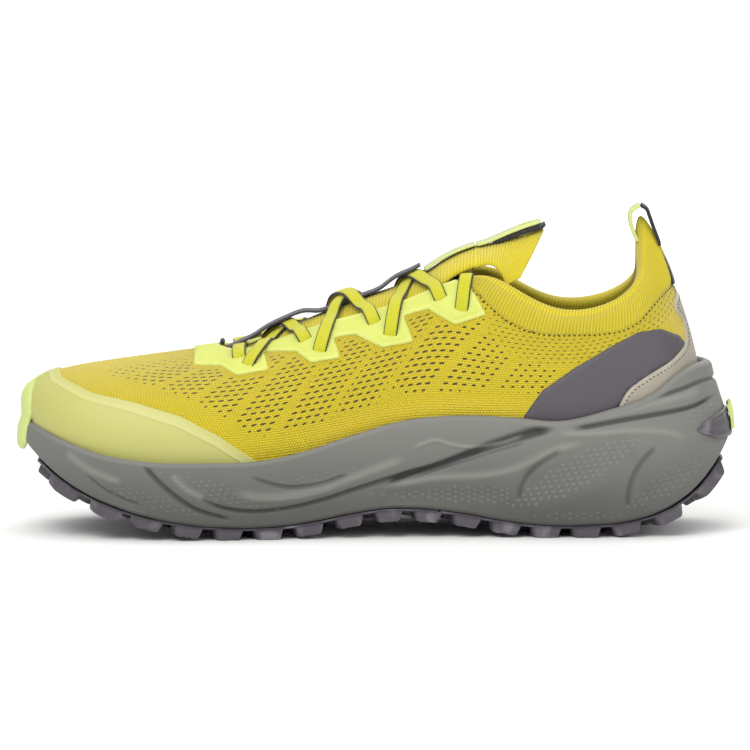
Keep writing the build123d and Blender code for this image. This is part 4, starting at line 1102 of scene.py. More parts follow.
def build_midsole():
    """The foam: side walls with their grooves, swells and dots, a rounded rim and the underside, with point values for
    painted shade in the grooves and on the underside, and painted highlight on the ridges, the dots and the rim's top.
    """
    columns = 1150
    u = np.arange(columns) * ROUND / columns
    middle_x = sole_point(u, 30.0)[:, 0]
    high = cubic(SOLE_RIM, middle_x)
    low = cubic(SOLE_BOTTOM, middle_x)
    rows, shade_rows, highlight_rows = [], [], []
    dots = dot_places()

    def sculpt(points):
        x, z = points[:, 0], points[:, 2]
        # Besides the depth, this gives painted shade in the grooves and painted highlight on the ridges and dots.
        depth, dark, light = np.zeros(len(x)), np.zeros(len(x)), np.zeros(len(x))
        for line, start_width, end_width, deep in GROOVES:
            gap, fade = tapered_line(x, z, line, start_width, end_width)
            shape = np.exp(-np.abs(gap) ** 2.6) * fade
            depth -= deep * shape
            dark = np.maximum(dark, shape * min(1.0, deep / 1.6))
        for line, width, rise in RIDGES:
            gap, fade = tapered_line(x, z, line, width, width)
            shape = np.exp(-(gap**2)) * fade
            depth += rise * shape
            light = np.maximum(light, shape)
        for line, width, rise in SWELLS:
            gap, fade = tapered_line(x, z, line, width, width)
            depth += rise * np.exp(-(gap**2)) * fade
        for px, pz, radius in dots:
            near = np.abs(x - px) < 1.6
            if near.any():
                gap = np.hypot(x[near] - px, z[near] - pz) / radius
                dome = np.clip(1 - (gap / 1.3) ** 2, 0, 1)
                depth[near] += 0.42 * dome
                # painted highlight on each dot
                light[near] = np.maximum(light[near], 0.9 * dome)
        return depth, dark, light

    def add_row(points, dark, light):
        rows.append(points)
        shade_rows.append(dark)
        highlight_rows.append(light)

    zero = np.zeros(columns)
    # inside: from the cavity wall up over the rounded rim, whose top gets a little painted highlight
    normal_high = sole_normal(u, high - 2)
    for inward, drop in ((9.0, 14.0), (6.5, 7.0), (5.0, 2.2), (4.3, 0.8), (3.4, 0.12), (2.2, 0.0), (1.2, 0.25), (0.5, 0.8)):
        points = sole_point(u, high - drop)
        points = points - normal_high * inward * np.array([1, 1, 0])
        points[:, 2] = high - drop
        add_row(points, zero, zero + (0.3 if drop < 1 else 0))
    wall = 150
    for share in np.linspace(0, 1, wall):
        z = (high - 1.7) + (low + 1.6 - (high - 1.7)) * share
        points = sole_point(u, z)
        depth, dark, light = sculpt(points)
        guard = smooth_step(points[:, 0], -133.5, -136) * smooth_step(points[:, 2], 51.5, 49.5) * smooth_step(points[:, 2], 37.5, 39.5)
        depth = depth * (1 - guard) - 0.3 * guard
        edge = smooth_step(share, 0, 0.05) * smooth_step(share, 1, 0.96)
        add_row(points + sole_normal(u, z) * np.clip(depth * edge, -2.8, 1.4)[:, None], dark * edge, light * edge)
    # The lower edge and the underside carry a little painted shade.
    normal_low = sole_normal(u, low + 2)
    for inward, drop in ((0.35, 0.75), (1.0, 0.2), (2.2, 0.0)):
        points = sole_point(u, low + drop) - normal_low * inward * np.array([1, 1, 0])
        points[:, 2] = low + drop
        add_row(points, zero + 0.2, zero)
    # underside, closing in rings to the middle line, with a little painted shade
    edge_ring = rows[-1]
    heart = edge_ring * np.array([0.86, 0, 1])
    for share in np.linspace(0, 1, 13)[1:]:
        ring = edge_ring + (heart - edge_ring) * share
        ring[:, 2] = cubic(SOLE_BOTTOM, ring[:, 0])
        add_row(ring, zero + 0.2, zero)
    points = np.array(rows)
    points[..., 0] = np.clip(points[..., 0], -149.8, 149.8)
    faces = grid_faces(len(rows), columns, False, True)
    return make_piece(
        "midsole_foam", points.reshape(-1, 3), faces, [FOAM], "shoe", ["midsole"],
        None, {"groove": np.array(shade_rows), "ridge": np.array(highlight_rows)},
    )


def underside_at(x, drop):
    """The foam's underside curve lowered by drop at right angles: new x and z."""
    slope = (cubic(SOLE_BOTTOM, x + 0.5) - cubic(SOLE_BOTTOM, x - 0.5))
    length = np.sqrt(1 + slope**2)
    return x + slope / length * drop, cubic(SOLE_BOTTOM, x) - drop / length


def sole_halves(x):
    rows = np.array(SOLE_OUTLINE, float)
    return np.interp(x, rows[:, 0], rows[:, 1]), np.interp(x, rows[:, 0], rows[:, 2])


def build_outsole():
    """The outsole's sheets, and lugs with sloped walls, rounded corners and a shallow groove on their faces."""
    for name, back, front, node in (
        ("outsole_heel_rubber", -143.0, -27.0, "outsole_heel"), ("outsole_forefoot_rubber", -26.0, 139.0, "outsole_forefoot"),
    ):
        points, faces = [], []
        xs = np.linspace(back, front, 130)
        across = np.linspace(-1, 1, 61)
        for drop in (0.15, 1.5):
            for x in xs:
                medial, lateral = sole_halves(x)
                flare = cubic(SIDE_FLARE, float(cubic(SOLE_BOTTOM, x))) - 1.2
                px, pz = underside_at(x, drop)
                for a in across:
                    half = max(0.5, (medial if a > 0 else lateral) + flare)
                    rim = 0.5 * abs(a) ** 30
                    points.append((px, a * half, min(pz + (rim if drop > 1 else 0), 60)))
        rows, cols = len(xs), len(across)
        top = grid_faces(rows, cols)
        bottom = grid_faces(rows, cols, start=rows * cols, flip=True)
        faces += [tuple(f) for f in top] + [tuple(f) for f in bottom]
        edge = list(range(cols)) + [i * cols + cols - 1 for i in range(1, rows)] + \
            [(rows - 1) * cols + j for j in range(cols - 2, -1, -1)] + [i * cols for i in range(rows - 2, 0, -1)]
        for a, b in zip(edge, edge[1:] + edge[:1]):
            faces.append((a, b, b + rows * cols, a + rows * cols))
        points = [tuple(p) for p in points]

        def add_lug(x, y, length, width, angle, pinch):
            """One lug under the foam at x, y; pinch narrows its ground face."""
            sections = []
            corner = 1.6
            for drop, scale in ((0.6, 1.02), (2.2, 1.0), (4.2, 0.95), (5.0, 0.9), (5.3, 0.82), (5.3, 0.5), (4.75, 0.42), (4.75, 0.0)):
                ring = []
                for k in range(28):
                    t = k * 2 * math.pi / 28
                    cx = math.copysign(abs(math.cos(t)) ** 0.42, math.cos(t)) * length / 2 * scale
                    cy = math.copysign(abs(math.sin(t)) ** 0.42, math.sin(t)) * width / 2 * scale
                    cx *= 1 - pinch * (drop / 5.3) * (0.5 + 0.5 * cy / (width / 2 + 1e-6)) * 0.3
                    gx = x + cx * math.cos(angle) - cy * math.sin(angle)
                    gy = y + cx * math.sin(angle) + cy * math.cos(angle)
                    px, pz = underside_at(np.array(gx), drop)
                    medial, lateral = sole_halves(gx)
                    limit = (medial if gy > 0 else lateral) + float(cubic(SIDE_FLARE, float(cubic(SOLE_BOTTOM, gx)))) - 0.9
                    gy = max(-max(limit, 1), min(max(limit, 1), gy))
                    ring.append((float(px), gy, max(float(pz), 0.0 if drop > 5.2 or pz < 0 else 0.0)))
                sections.append(ring)
            start = len(points)
            for ring in sections:
                points.extend(ring)
            faces.extend(tuple(f) for f in grid_faces(len(sections), 28, False, True, start))
            faces.append(tuple(start + k for k in range(27, -1, -1)))

        for i in range(17):
            x = -136.0 + i * 16.4
            medial, lateral = sole_halves(x)
            for side, half in ((1, medial), (-1, lateral)):
                if back + 4 < x < front - 3:
                    add_lug(x, side * (half - 7), 11.5, 18.0, side * math.radians(12), 1.0)
                inner_x = x + 5.2
                if back + 4 < inner_x < front - 3 and half > 12:
                    add_lug(inner_x, side * half * 0.32, 7.1, half * 0.42, side * math.radians(-26), 0.4)
        make_piece(name, points, faces, [RUBBER], "shoe", [node])


def build_sole_trim():
    """The pointed rubber guard round the heel and the toe bumper."""
    u_side = []
    for side in (1, -1):
        start, stop = (0.0, HALF * 0.5) if side > 0 else (0.0, -HALF * 0.5)
        us = np.linspace(start, stop, 4000)
        xs = sole_point(us, 44.0)[:, 0]
        u_side.append(float(np.interp(-133.0, xs, us)))
    u = np.linspace(u_side[1], u_side[0], 260)
    x = sole_point(u, 44.0)[:, 0]
    upper_line = np.array([(-160, 50.0), (-147.5, 50.3), (-143, 49.2), (-137, 46.6), (-133, 43.9)])
    lower_line = np.array([(-160, 38.6), (-147.5, 38.8), (-141, 39.4), (-136, 41.6), (-133, 43.6)])
    high = np.interp(x, upper_line[:, 0], upper_line[:, 1])
    low = np.interp(x, lower_line[:, 0], lower_line[:, 1])
    rows = []
    edge_fade = smooth_step(x, -132.9, -136)
    profile = [
        (0, -0.6), (0, 0.5), (0.06, 0.85), (0.16, 1.0), (0.24, 0.6), (0.3, 0.6), (0.5, 0.8), (0.7, 0.6), (0.76, 0.6),
        (0.84, 1.0), (0.94, 0.85), (1, 0.5), (1, -0.6),
    ]
    for share, lift in profile:
        z = low + (high - low) * share
        outward = np.full(len(u), lift) if lift < 0 else 0.15 + lift * (0.35 + 0.65 * edge_fade)
        rows.append(sole_point(u, z) + sole_normal(u, z) * outward[:, None])
    points = np.array(rows)
    make_piece("heel_guard_rubber", points.reshape(-1, 3), grid_faces(len(rows), len(u), flip=True), [RUBBER], "shoe", ["heel_guard"])

    def strip(name, inner, outer, center_y, half, curve, node, rim):
        outline_in, outline_out = through(inner, 8), through(outer, 8)
        stations = np.linspace(-1, 1, 61)
        loops = []
        for s in stations:
            y = s * half
            end = 1 - 0.28 * abs(s) ** 6
            loop = np.vstack([outline_in, outline_out[::-1]])
            middle = loop[:, 1].mean()
            body = (loop - [0, middle]) * [1, end] + [0, middle]
            mid_x = (outline_in[:, 0].mean() + outline_out[:, 0].mean()) / 2
            thin = 1 - rim * abs(s) ** 8
            body[:, 0] = body[:, 0] * 1.0 + 0 * mid_x
            inner_x = np.concatenate([outline_in[:, 0], np.interp(outline_out[::-1, 1], outline_in[:, 1], outline_in[:, 0])])
            body[:, 0] = inner_x + (body[:, 0] - inner_x) * thin
            loops.append(np.stack([body[:, 0] - curve * y * y, np.full(len(body), center_y + y), body[:, 1]], 1))
        return tube_piece(name, loops, [NEON], "shoe", [node])

    def front_x(y, z):
        us = ROUND / 2 + np.linspace(-3, 3, 301)
        if z > 45.5:
            spots = upper(us, crossing(us, lambda x, height: height - z))
            extra = 0.9
        else:
            spots = sole_point(us / ROUND * HALF * 2, np.full(len(us), z))
            extra = 0.0
        order = np.argsort(spots[:, 1])
        return float(np.interp(y, spots[order, 1], spots[order, 0])) + extra

    levels = np.array([33.4, 35, 37, 39, 41, 43, 45, 47.5, 50, 52.5, 55, 57.5, 60, 62.5, 65])
    loops = []
    for s in np.linspace(-1, 1, 61):
        y = 2.5 + 14 * s
        surface = np.array([front_x(y, z) for z in levels])
        surface = np.convolve(np.pad(surface, 1, mode="edge"), (0.25, 0.5, 0.25), mode="valid")
        end = 1 - 0.25 * abs(s) ** 5
        thin = 1 - 0.6 * abs(s) ** 8
        fine_z = np.linspace(levels[0], levels[-1], 40)
        fine_x = np.interp(fine_z, levels, surface)
        middle = fine_z.mean()
        share = np.abs(fine_z - middle) / (middle - fine_z[0])
        rise = 1.7 * thin * (1 - share**6) ** 0.5
        fine_z = middle + (fine_z - middle) * end
        outer = np.stack([fine_x + rise, fine_z], 1)
        inner = np.stack([fine_x - 0.8, fine_z], 1)
        loop = np.vstack([inner, outer[::-1]])
        loops.append(np.stack([loop[:, 0], np.full(len(loop), y), loop[:, 1]], 1))
    tube_piece("toe_bumper_rubber", loops, [NEON], "shoe", ["toe_bumper"])


build_midsole()
build_outsole()
build_sole_trim()


# ---------------------------------------------------------------- tongue
def ridge_z(x):
    return cubic(TONGUE_RIDGE, x)


def arch(x):
    wing = np.clip((-46 - np.asarray(x, float)) / 16, 0, 1)
    return 0.0205 + 0.0045 * np.tanh((x + 30) / 12) + 0.034 * wing**2 * (3 - 2 * wing)


TONGUE_HALF = [
    (-71, 19), (-62, 19), (-55, 18.5), (-51, 18), (-47, 17.6), (-41, 17.2), (-30, 17.6), (-20, 21), (-10, 22),
    (4, 22), (32, 22), (44, 21.5), (55, 21), (66, 20),
]
TONGUE_LEAN = [(-71, -0.55), (-62, -0.35), (-55, -0.15), (-51, -0.06), (-47, 0), (-41.4, 0.15), (-41, 0), (66, 0)]


def tongue_point(x, y, above=0.0):
    slope = (ridge_z(x + 1) - ridge_z(x - 1)) / 2
    normal = unit(np.stack(np.broadcast_arrays(-slope, 2 * arch(x) * y, 1.0), -1))
    spot = np.stack(np.broadcast_arrays(x, y, ridge_z(x) - arch(x) * y * y), -1)
    return spot + normal * above, normal


def build_tongue():
    """One padded, ribbed tongue from under the throat to its free end, with a rolled edge and painted shade in its rib
    valleys.
    """
    xs = np.concatenate([np.linspace(64, -30, 240, endpoint=False), np.linspace(-30, -71, 190)])
    lean = np.interp(xs, *np.array(TONGUE_LEAN).T)
    half = cubic(TONGUE_HALF, xs)
    thick = 3.0
    across = np.linspace(-1, 1, 121)
    outer, inner, valley_rows = [], [], []
    for a in across:
        y = a * half
        drop = arch(xs) * y * y
        edge = np.sqrt(np.clip(1 - np.abs(a) ** 14, 0, 1))
        rib = np.cos(2 * math.pi * (xs - 0.12 * drop) / 1.35)
        free = smooth_step(xs, -40, -46)
        body = 0.16 * rib * (0.4 + 0.6 * free)
        top = ridge_z(xs) - drop
        middle_z = top - thick / 2
        normal_half = thick / 2 * (0.25 + 0.75 * edge)
        outer.append(np.stack([xs - lean * drop, y, middle_z + normal_half + body], 1))
        inner.append(np.stack([xs - lean * (drop + thick), y, middle_z - normal_half], 1))
        # painted shade in the rib valleys
        valley_rows.append(0.5 - 0.5 * rib)
    loop = outer + inner[::-1]
    points = np.array(loop)
    rows, cols = points.shape[:2]
    # round the free end: the last columns draw together to the middle of the thickness
    ends = smooth_step(xs, -69.4, -71.0)
    for i in range(rows):
        partner = points[rows - 1 - i]
        middle = (points[i] + partner) / 2
        points[i] = points[i] + (middle - points[i]) * (ends * ends * 0.85)[:, None]
    valley = np.array(valley_rows + valley_rows[::-1])
    spot_x, spot_y = points[..., 0], points[..., 1]
    faces = grid_faces(rows, cols, True, False, flip=True)
    caps = [tuple(i * cols for i in range(rows)), tuple(i * cols + cols - 1 for i in range(rows - 1, -1, -1))]
    uv = np.stack([spot_y, spot_x], -1).reshape(-1, 2)
    piece = make_piece(
        "tongue_knit", points.reshape(-1, 3), [tuple(f) for f in faces] + caps, [TONGUE_RIB], None,
        ["tongue", "tongue_top"], uv, {"valley": valley},
    )
    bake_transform(piece)
    return piece


def tape_sections(curve, width, thick, sag=0.0, count=22):
    """Sections of a flat tape whose underside runs along (x, z)."""
    line = resampled(through(curve, 8), 0.8)
    tangent = unit(np.gradient(line, axis=0))
    up = np.stack([-tangent[:, 1], tangent[:, 0]], 1)
    up = np.where(up[:, 1:2] < 0, -up, up)
    section = flat_section(width, thick, count, 5.0)
    sections = []
    for (x, z), (ux, uz) in zip(line, up):
        rows = []
        for sy, st in section:
            lift = thick / 2 + st - sag * sy * sy
            rows.append((x + ux * lift, sy, z + uz * lift))
        sections.append(rows)
    return np.array(sections), line


def tape_piece(name, curve, width, thick, material, body, replaces, sag=0.0, hole=None):
    sections, line = tape_sections(curve, width, thick, sag)
    rows, cols = sections.shape[:2]
    length = np.concatenate([[0], np.cumsum(np.linalg.norm(np.diff(line, axis=0), axis=1))])
    uv = np.stack([sections[..., 1], np.broadcast_to(length[:, None], (rows, cols))], -1).reshape(-1, 2)
    piping = smooth_step(np.abs(sections[..., 1]), width / 2 - 1.3, width / 2 - 0.9)
    return tube_piece(name, sections, [material], body, replaces, values={"piping": piping}, uv=uv)


def webbing_under(x):
    x = np.asarray(x, float)
    lift = sum(rise * np.exp(-(((x - middle) / 11) ** 4)) for middle, rise in WEBBING_LIFTS)
    return ridge_z(x) + 0.35 + lift


def holed_tape(name, curve, width, thick, material, body, replaces, hole_x, hole_length, hole_width, sag):
    """A flat tape with a rounded eye through it, meshed as a closed sheet."""
    line = resampled(through(curve, 8), 0.6)
    tangent = unit(np.gradient(line, axis=0))
    up = np.stack([-tangent[:, 1], tangent[:, 0]], 1)
    up = np.where(up[:, 1:2] < 0, -up, up)
    length = np.concatenate([[0], np.cumsum(np.linalg.norm(np.diff(line, axis=0), axis=1))])
    if line[0, 0] > line[-1, 0]:
        hole_at = float(np.interp(-hole_x, -line[:, 0], length))
    else:
        hole_at = float(np.interp(hole_x, line[:, 0], length))

    def ring(center, half_l, half_w, power, count):
        angle = np.arange(count) * 2 * math.pi / count
        c, s = np.cos(angle), np.sin(angle)
        return np.stack([
            center + np.sign(c) * np.abs(c) ** (2 / power) * half_l, np.sign(s) * np.abs(s) ** (2 / power) * half_w
        ], 1)

    count = 96
    outer = [ring(length[-1] / 2, length[-1] / 2 - d, width / 2 - d, 9.0, count) for d in (0.0, 0.15, 0.5)]
    eye = [ring(hole_at, hole_length / 2 + d, hole_width / 2 + d, 2.2, 40) for d in (0.5, 0.15, 0.0)]
    coords, edges = [], []
    for loop in (outer[2], eye[0]):
        start = len(coords)
        coords += [Vector(p) for p in loop]
        edges += [(start + i, start + (i + 1) % len(loop)) for i in range(len(loop))]
    gx, gy = np.meshgrid(np.arange(1.5, length[-1] - 1, 1.0), np.arange(-width / 2 + 1.4, width / 2 - 1.2, 1.0))
    fill = np.stack([gx.ravel(), gy.ravel()], 1)
    away = np.hypot((fill[:, 0] - hole_at) / (hole_length / 2 + 1.0), fill[:, 1] / (hole_width / 2 + 1.0)) > 1
    fill = fill[away & inside_loop(fill, outer[2])]
    coords += [Vector(p) for p in fill]
    out = delaunay_2d_cdt(coords, edges, [], 0, 1e-5)
    flat = np.array([[p.x, p.y] for p in out[0]])
    faces = [
        f for f in out[2]
        if inside_loop(flat[list(f)].mean(0)[None], outer[2])[0] and not inside_loop(flat[list(f)].mean(0)[None], eye[0])[0]
    ]
    where = {s: i for i, source in enumerate(out[3]) for s in source}
    flats, levels, all_faces = [flat], [np.full(len(flat), thick / 2)], [tuple(f) for f in faces]
    first_outer = [where[i] for i in range(count)]
    first_eye = [where[count + i] for i in range(40)]
    total = len(flat)
    half_levels = ((0.15, thick / 2 * 0.75, 1), (0.0, thick / 2 * 0.25, 0), (0.0, -thick / 2 * 0.25, 0), (0.15, -thick / 2 * 0.75, 1))
    previous_outer, previous_eye = first_outer, first_eye
    for _, level, index in half_levels:
        o, e = outer[index], eye[2 - index]
        flats += [o, e]
        levels += [np.full(len(o), level), np.full(len(e), level)]
        here_outer = list(range(total, total + count))
        here_eye = list(range(total + count, total + count + 40))
        total += count + 40
        for i in range(count):
            j = (i + 1) % count
            all_faces.append((previous_outer[i], here_outer[i], here_outer[j], previous_outer[j]))
        for i in range(40):
            j = (i + 1) % 40
            all_faces.append((previous_eye[j], here_eye[j], here_eye[i], previous_eye[i]))
        previous_outer, previous_eye = here_outer, here_eye
    flats.append(flat)
    levels.append(np.full(len(flat), -thick / 2))
    bottom = [tuple(total + i for i in reversed(f)) for f in faces]
    for i in range(count):
        j = (i + 1) % count
        all_faces.append((previous_outer[i], total + first_outer[i], total + first_outer[j], previous_outer[j]))
    for i in range(40):
        j = (i + 1) % 40
        all_faces.append((previous_eye[j], total + first_eye[j], total + first_eye[i], previous_eye[i]))
    all_faces += bottom
    flat_all = np.vstack(flats)
    level = np.concatenate(levels)
    x = np.interp(flat_all[:, 0], length, line[:, 0])
    z = np.interp(flat_all[:, 0], length, line[:, 1])
    ux = np.interp(flat_all[:, 0], length, up[:, 0])
    uz = np.interp(flat_all[:, 0], length, up[:, 1])
    lift = thick / 2 + level - sag * flat_all[:, 1] ** 2
    points = np.stack([x + ux * lift, flat_all[:, 1], z + uz * lift], 1)
    eye_gap = np.hypot((flat_all[:, 0] - hole_at) / (hole_length / 2), flat_all[:, 1] / (hole_width / 2))
    piping = np.maximum(
        smooth_step(np.abs(flat_all[:, 1]), width / 2 - 1.2, width / 2 - 0.8), smooth_step(eye_gap, 1.5, 1.25)
    )
    return make_piece(name, points, all_faces, [material], body, replaces, flat_all[:, ::-1], {"piping": piping})


def build_tapes():
    stations = np.arange(61, -20, -2.0)
    tape_piece(
        "tongue_webbing_tape", np.stack([stations, webbing_under(stations)], 1), 12, TAPE, DARK_TAPE,
        "shoe", ["tongue_webbing"],
    )
    angles = np.arange(20) * 2 * math.pi / 20
    bar_z = upper(np.array([ROUND / 2]), np.array([0.98]))[0, 2] + FILM + 0.9
    sections = []
    for y in np.linspace(-5, 5, 60):
        end = math.sqrt(max(0.0, 1 - (abs(y) / 5.05) ** 8))
        radius = 1.0 * (0.35 + 0.65 * end) * (1 + 0.1 * math.cos(2 * math.pi * y / 0.8))
        sections.append([(63.5 + radius * math.cos(a), y, bar_z + radius * math.sin(a)) for a in angles])
    tube_piece("throat_bartack_thread", sections, [BLACK_TAPE], "shoe", ["throat_bartack"])
    tape_piece(
        "pull_tab_base_tape", [(-21.0, 107.2), (-24, 109.5), (-28, 112.0), (-33, 114.6), (-38, 116.6), (-41.6, 117.8)], 14, TAPE, LIME_TAPE,
        "shoe", ["pull_tab_base"],
    )
    holed_tape(
        "pull_tab_strip_tape", [(-42, 117.9), (-46, 119.2), (-51, 121.2), (-57, 123.9), (-62, 125.8), (-66, 127.0), (-69, 127.8)], 14, TAPE,
        LIME_TAPE, "pull_tab", ["pull_tab_strip"], -62.5, 8.0, 7.0, 0.012,
    )
    holed_tape(
        "pull_tab_lining_tape", [(-49, 119.2), (-55, 121.2), (-60, 122.7), (-66, 124.6), (-70.0, 126.0), (-71.0, 127.0)], 14, TAPE,
        BLACK_TAPE, "pull_tab", ["pull_tab_lining"], -62.5, 8.0, 7.0, 0.012,
    )


# ---------------------------------------------------------------- laces
def edge_at(x):
    rows = np.array([row[3:6] for row in MERIDIANS if row[3] > -60], float)
    return float(np.interp(x, rows[:, 0], rows[:, 1])), float(np.interp(x, rows[:, 0], rows[:, 2]))


def from_slot(slot, side, middle_x, above):
    """Stations (point, normal) from a slot up to the throat edge on the way to the ridge."""
    spot = on_upper([slot[0]], [slot[1]], side)[0]
    point = upper(*spot)
    share = 0.5
    for _ in range(20):
        edge_x = point[0] + (middle_x - point[0]) * share
        edge_y, edge_z = edge_at(edge_x)
        share = 1 - edge_y / abs(point[1])
    stations = []
    before = np.array([slot[0] - (edge_x - slot[0]) * 0.12, slot[1] - (edge_z - slot[1]) * 0.12])
    for part, lift in ((None, -0.9), (0.0, above * 0.75), (0.33, above), (0.66, above)):
        if part is None:
            x, z = before
        else:
            x, z = slot[0] + (edge_x - slot[0]) * part, slot[1] + (edge_z - slot[1]) * part
        place = on_upper([x], [z], side)[0]
        normal = upper_frame(*place)[0]
        stations.append((upper(*place) + normal * lift, normal))
    over_edge = unit(stations[-1][1] + np.array([0, 0, 0.5]))
    stations.append((np.array([edge_x, side * edge_y, edge_z]) + over_edge * above, over_edge))
    return stations


def lace_path(start, finish, middle_x, lift):
    above = 0.1 + FILM + 0.3 + LACE / 2 + 0.45
    medial = from_slot(start, 1, middle_x, above)
    lateral = from_slot(finish, -1, middle_x, above)
    throat = edge_at(middle_x)[0]
    stations = []
    for part in (0.66, 0.42, 0.21, 0, -0.21, -0.42, -0.66):
        y = part * throat
        reach = abs(part) * 0.8
        x = middle_x + ((start[0] if y > 0 else finish[0]) - middle_x) * reach
        share = 1.0 if abs(part) < 0.5 else 0.25
        center, normal = tongue_point(np.array(x), np.array(y), 0.3 + LACE / 2 + lift * share)
        stations.append((center, normal))
    return medial + stations + lateral[::-1]


SOFTEN = 90


def lace_piece(name, stations, replaces):
    """A flat woven lace with piped edges along stations of (point, normal)."""
    points = resampled(through([s[0] for s in stations], 9), 0.45)
    raw = np.array([s[0] for s in stations])
    reach = np.concatenate([[0], np.cumsum(np.linalg.norm(np.diff(raw, axis=0), axis=1))])
    along = np.linspace(0, reach[-1], len(points))
    normals = np.stack([np.interp(along, reach, [s[1][k] for s in stations]) for k in range(3)], 1)
    for _ in range(SOFTEN):
        points[1:-1] = (points[:-2] + 2 * points[1:-1] + points[2:]) / 4
        normals[1:-1] = (normals[:-2] + 2 * normals[1:-1] + normals[2:]) / 4
    normals = unit(normals)
    sections = ribbon_sections(points, normals, LACE_WIDTH, LACE, 24, 3.2)
    rows, cols = sections.shape[:2]
    length = np.concatenate([[0], np.cumsum(np.linalg.norm(np.diff(points, axis=0), axis=1))])
    section = flat_section(LACE_WIDTH, LACE, cols, 3.2)
    ribs = 0.07 * np.cos(2 * math.pi * (length[:, None] + 0.4 * section[None, :, 0]) / 1.1)
    outward = sections - points[:, None, :]
    sections = sections + unit(outward) * ribs[..., None]
    piping = np.broadcast_to(smooth_step(np.abs(section[:, 0]), LACE_WIDTH / 2 - 0.62, LACE_WIDTH / 2 - 0.42), (rows, cols))
    uv = np.stack([np.broadcast_to(section[:, 0], (rows, cols)), np.broadcast_to(length[:, None], (rows, cols))], -1)
    return tube_piece(name, sections, [LACE_WOVEN], "shoe", replaces, values={"piping": piping}, uv=uv.reshape(-1, 2))


def build_laces():
    lace_piece("lace_front_bar", lace_path(BAR_SLOT, BAR_SLOT, BAR_SLOT[0], 0), ["lace_bar"])
    over_tape = 0.35 + TAPE + 0.9
    for number in range(3):
        low, high = LOWER_SLOTS[number], UPPER_SLOTS[number]
        base = over_tape if number == 1 else 0
        lace_piece(f"lace_{number + 1}_lower", lace_path(low, high, CROSSINGS[number], base), [f"lace_leg_{number + 1}_under"])
        lace_piece(
            f"lace_{number + 1}_upper", lace_path(high, low, CROSSINGS[number], base + 1.8), [f"lace_leg_{number + 1}_over"]
        )
    above = 0.1 + FILM + 0.3 + 0.75
    for side, name in ((1, "medial"), (-1, "lateral")):
        stations = []
        for (x, z), lift in (((-35.2, 91.5), -0.9), (TAIL_SLOT, above * 0.8), ((-37, 101), above)):
            place = on_upper([x], [z], side)[0]
            normal = upper_frame(*place)[0]
            stations.append((upper(*place) + normal * lift, normal))
        stations.append((np.array([-38, side * 21.6, 108.6]), unit(np.array([0, side * 0.25, 1.0]))))
        for x, y, z in [(-38.3, 18.6, 106), (-38.8, 18.7, 99), (-39.8, 19.5, 88), (-40.6, 20.5, 77)]:
            stations.append((np.array([x, side * y, z]), np.array([0.0, -side, 0])))
        lace_piece(f"lace_end_{name}", stations, [f"lace_tail_{name}"])


# ---------------------------------------------------------------- heel tape, loop and insole
def build_heel():
    front = [(-109.3, 119.6), (-107.2, 124), (-106.0, 128.4), (-106.6, 132.4), (-110, 134.6)]
    back = [(-110.6, 134.6), (-112.9, 133.0), (-114.2, 129.8), (-115.9, 125.0), (-117.8, 120.0), (-118.2, 118.0)]

    def loop(name, curve, material, slot, node):
        line = resampled(through(curve, 8), 0.7)
        points = np.stack([line[:, 0], np.zeros(len(line)), line[:, 1]], 1)
        tangent = unit(np.gradient(points, axis=0))
        normals = np.cross(tangent, np.array([0, 1.0, 0]))
        sections = ribbon_sections(points, normals, 12.0, 1.6, 28, 5.0)
        rows, cols = sections.shape[:2]
        length = np.concatenate([[0], np.cumsum(np.linalg.norm(np.diff(points, axis=0), axis=1))])
        section = flat_section(12.0, 1.6, cols, 5.0)
        piping = np.broadcast_to(smooth_step(np.abs(section[:, 0]), 4.6, 5.0), (rows, cols))
        uv = np.stack([np.broadcast_to(section[:, 0], (rows, cols)), np.broadcast_to(length[:, None], (rows, cols))], -1)
        piece = tube_piece(name, sections, [material], None, [node], values={"piping": piping}, uv=uv.reshape(-1, 2))
        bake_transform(piece)

    loop("heel_loop_front_tape", front, LIME_TAPE, "lime_tape", "heel_loop_front")
    loop("heel_loop_back_tape", back, BLACK_TAPE, "dark_tape", "heel_loop_back")
    u = np.linspace(-0.35, 0.35, 41)
    ys = upper(u, 0.9)[:, 1]
    u = np.interp(np.linspace(-6, 6, 41), ys, u) if ys[-1] > ys[0] else np.interp(np.linspace(-6, 6, 41), ys[::-1], u[::-1])
    rows = []
    heights = np.linspace(118.5, 101.5, 40)
    for index, z_top in enumerate(heights):
        t = crossing(u, lambda x, z, level=z_top: z - level)
        rows.append(t)
    rows = np.array(rows)
    edge = 1 - np.abs(np.linspace(-1, 1, 41)) ** 16
    ends = np.sin(math.pi * np.clip(np.linspace(0, 1, 40), 0.02, 0.98)) ** 0.15
    top = np.array([upper_at(u, t, 0.2 + 1.6 * (0.35 + 0.65 * edge) * e) for t, e in zip(rows, ends)])
    low = np.array([upper_at(u, t, np.full(41, 0.1)) for t in rows])
    points = np.concatenate([top.reshape(-1, 3), low.reshape(-1, 3)])
    count = 40 * 41
    faces = [tuple(f) for f in grid_faces(40, 41)] + [tuple(f) for f in grid_faces(40, 41, start=count, flip=True)]
    ring = list(range(41)) + [i * 41 + 40 for i in range(1, 40)] + [39 * 41 + j for j in range(39, -1, -1)] + [i * 41 for i in range(38, 0, -1)]
    faces += [(b, a, a + count, b + count) for a, b in zip(ring, ring[1:] + ring[:1])]
    uv_y = np.broadcast_to(np.linspace(-6, 6, 41), (40, 41)).ravel()
    uv_z = np.broadcast_to(heights[:, None], (40, 41)).ravel()
    uv = np.tile(np.stack([uv_y, uv_z], 1), (2, 1))
    make_piece("heel_tape_woven", points, faces, [BLACK_TAPE], "shoe", ["heel_tape"], uv, {"piping": np.tile(smooth_step(np.abs(uv_y), 4.7, 5.1), 2)})


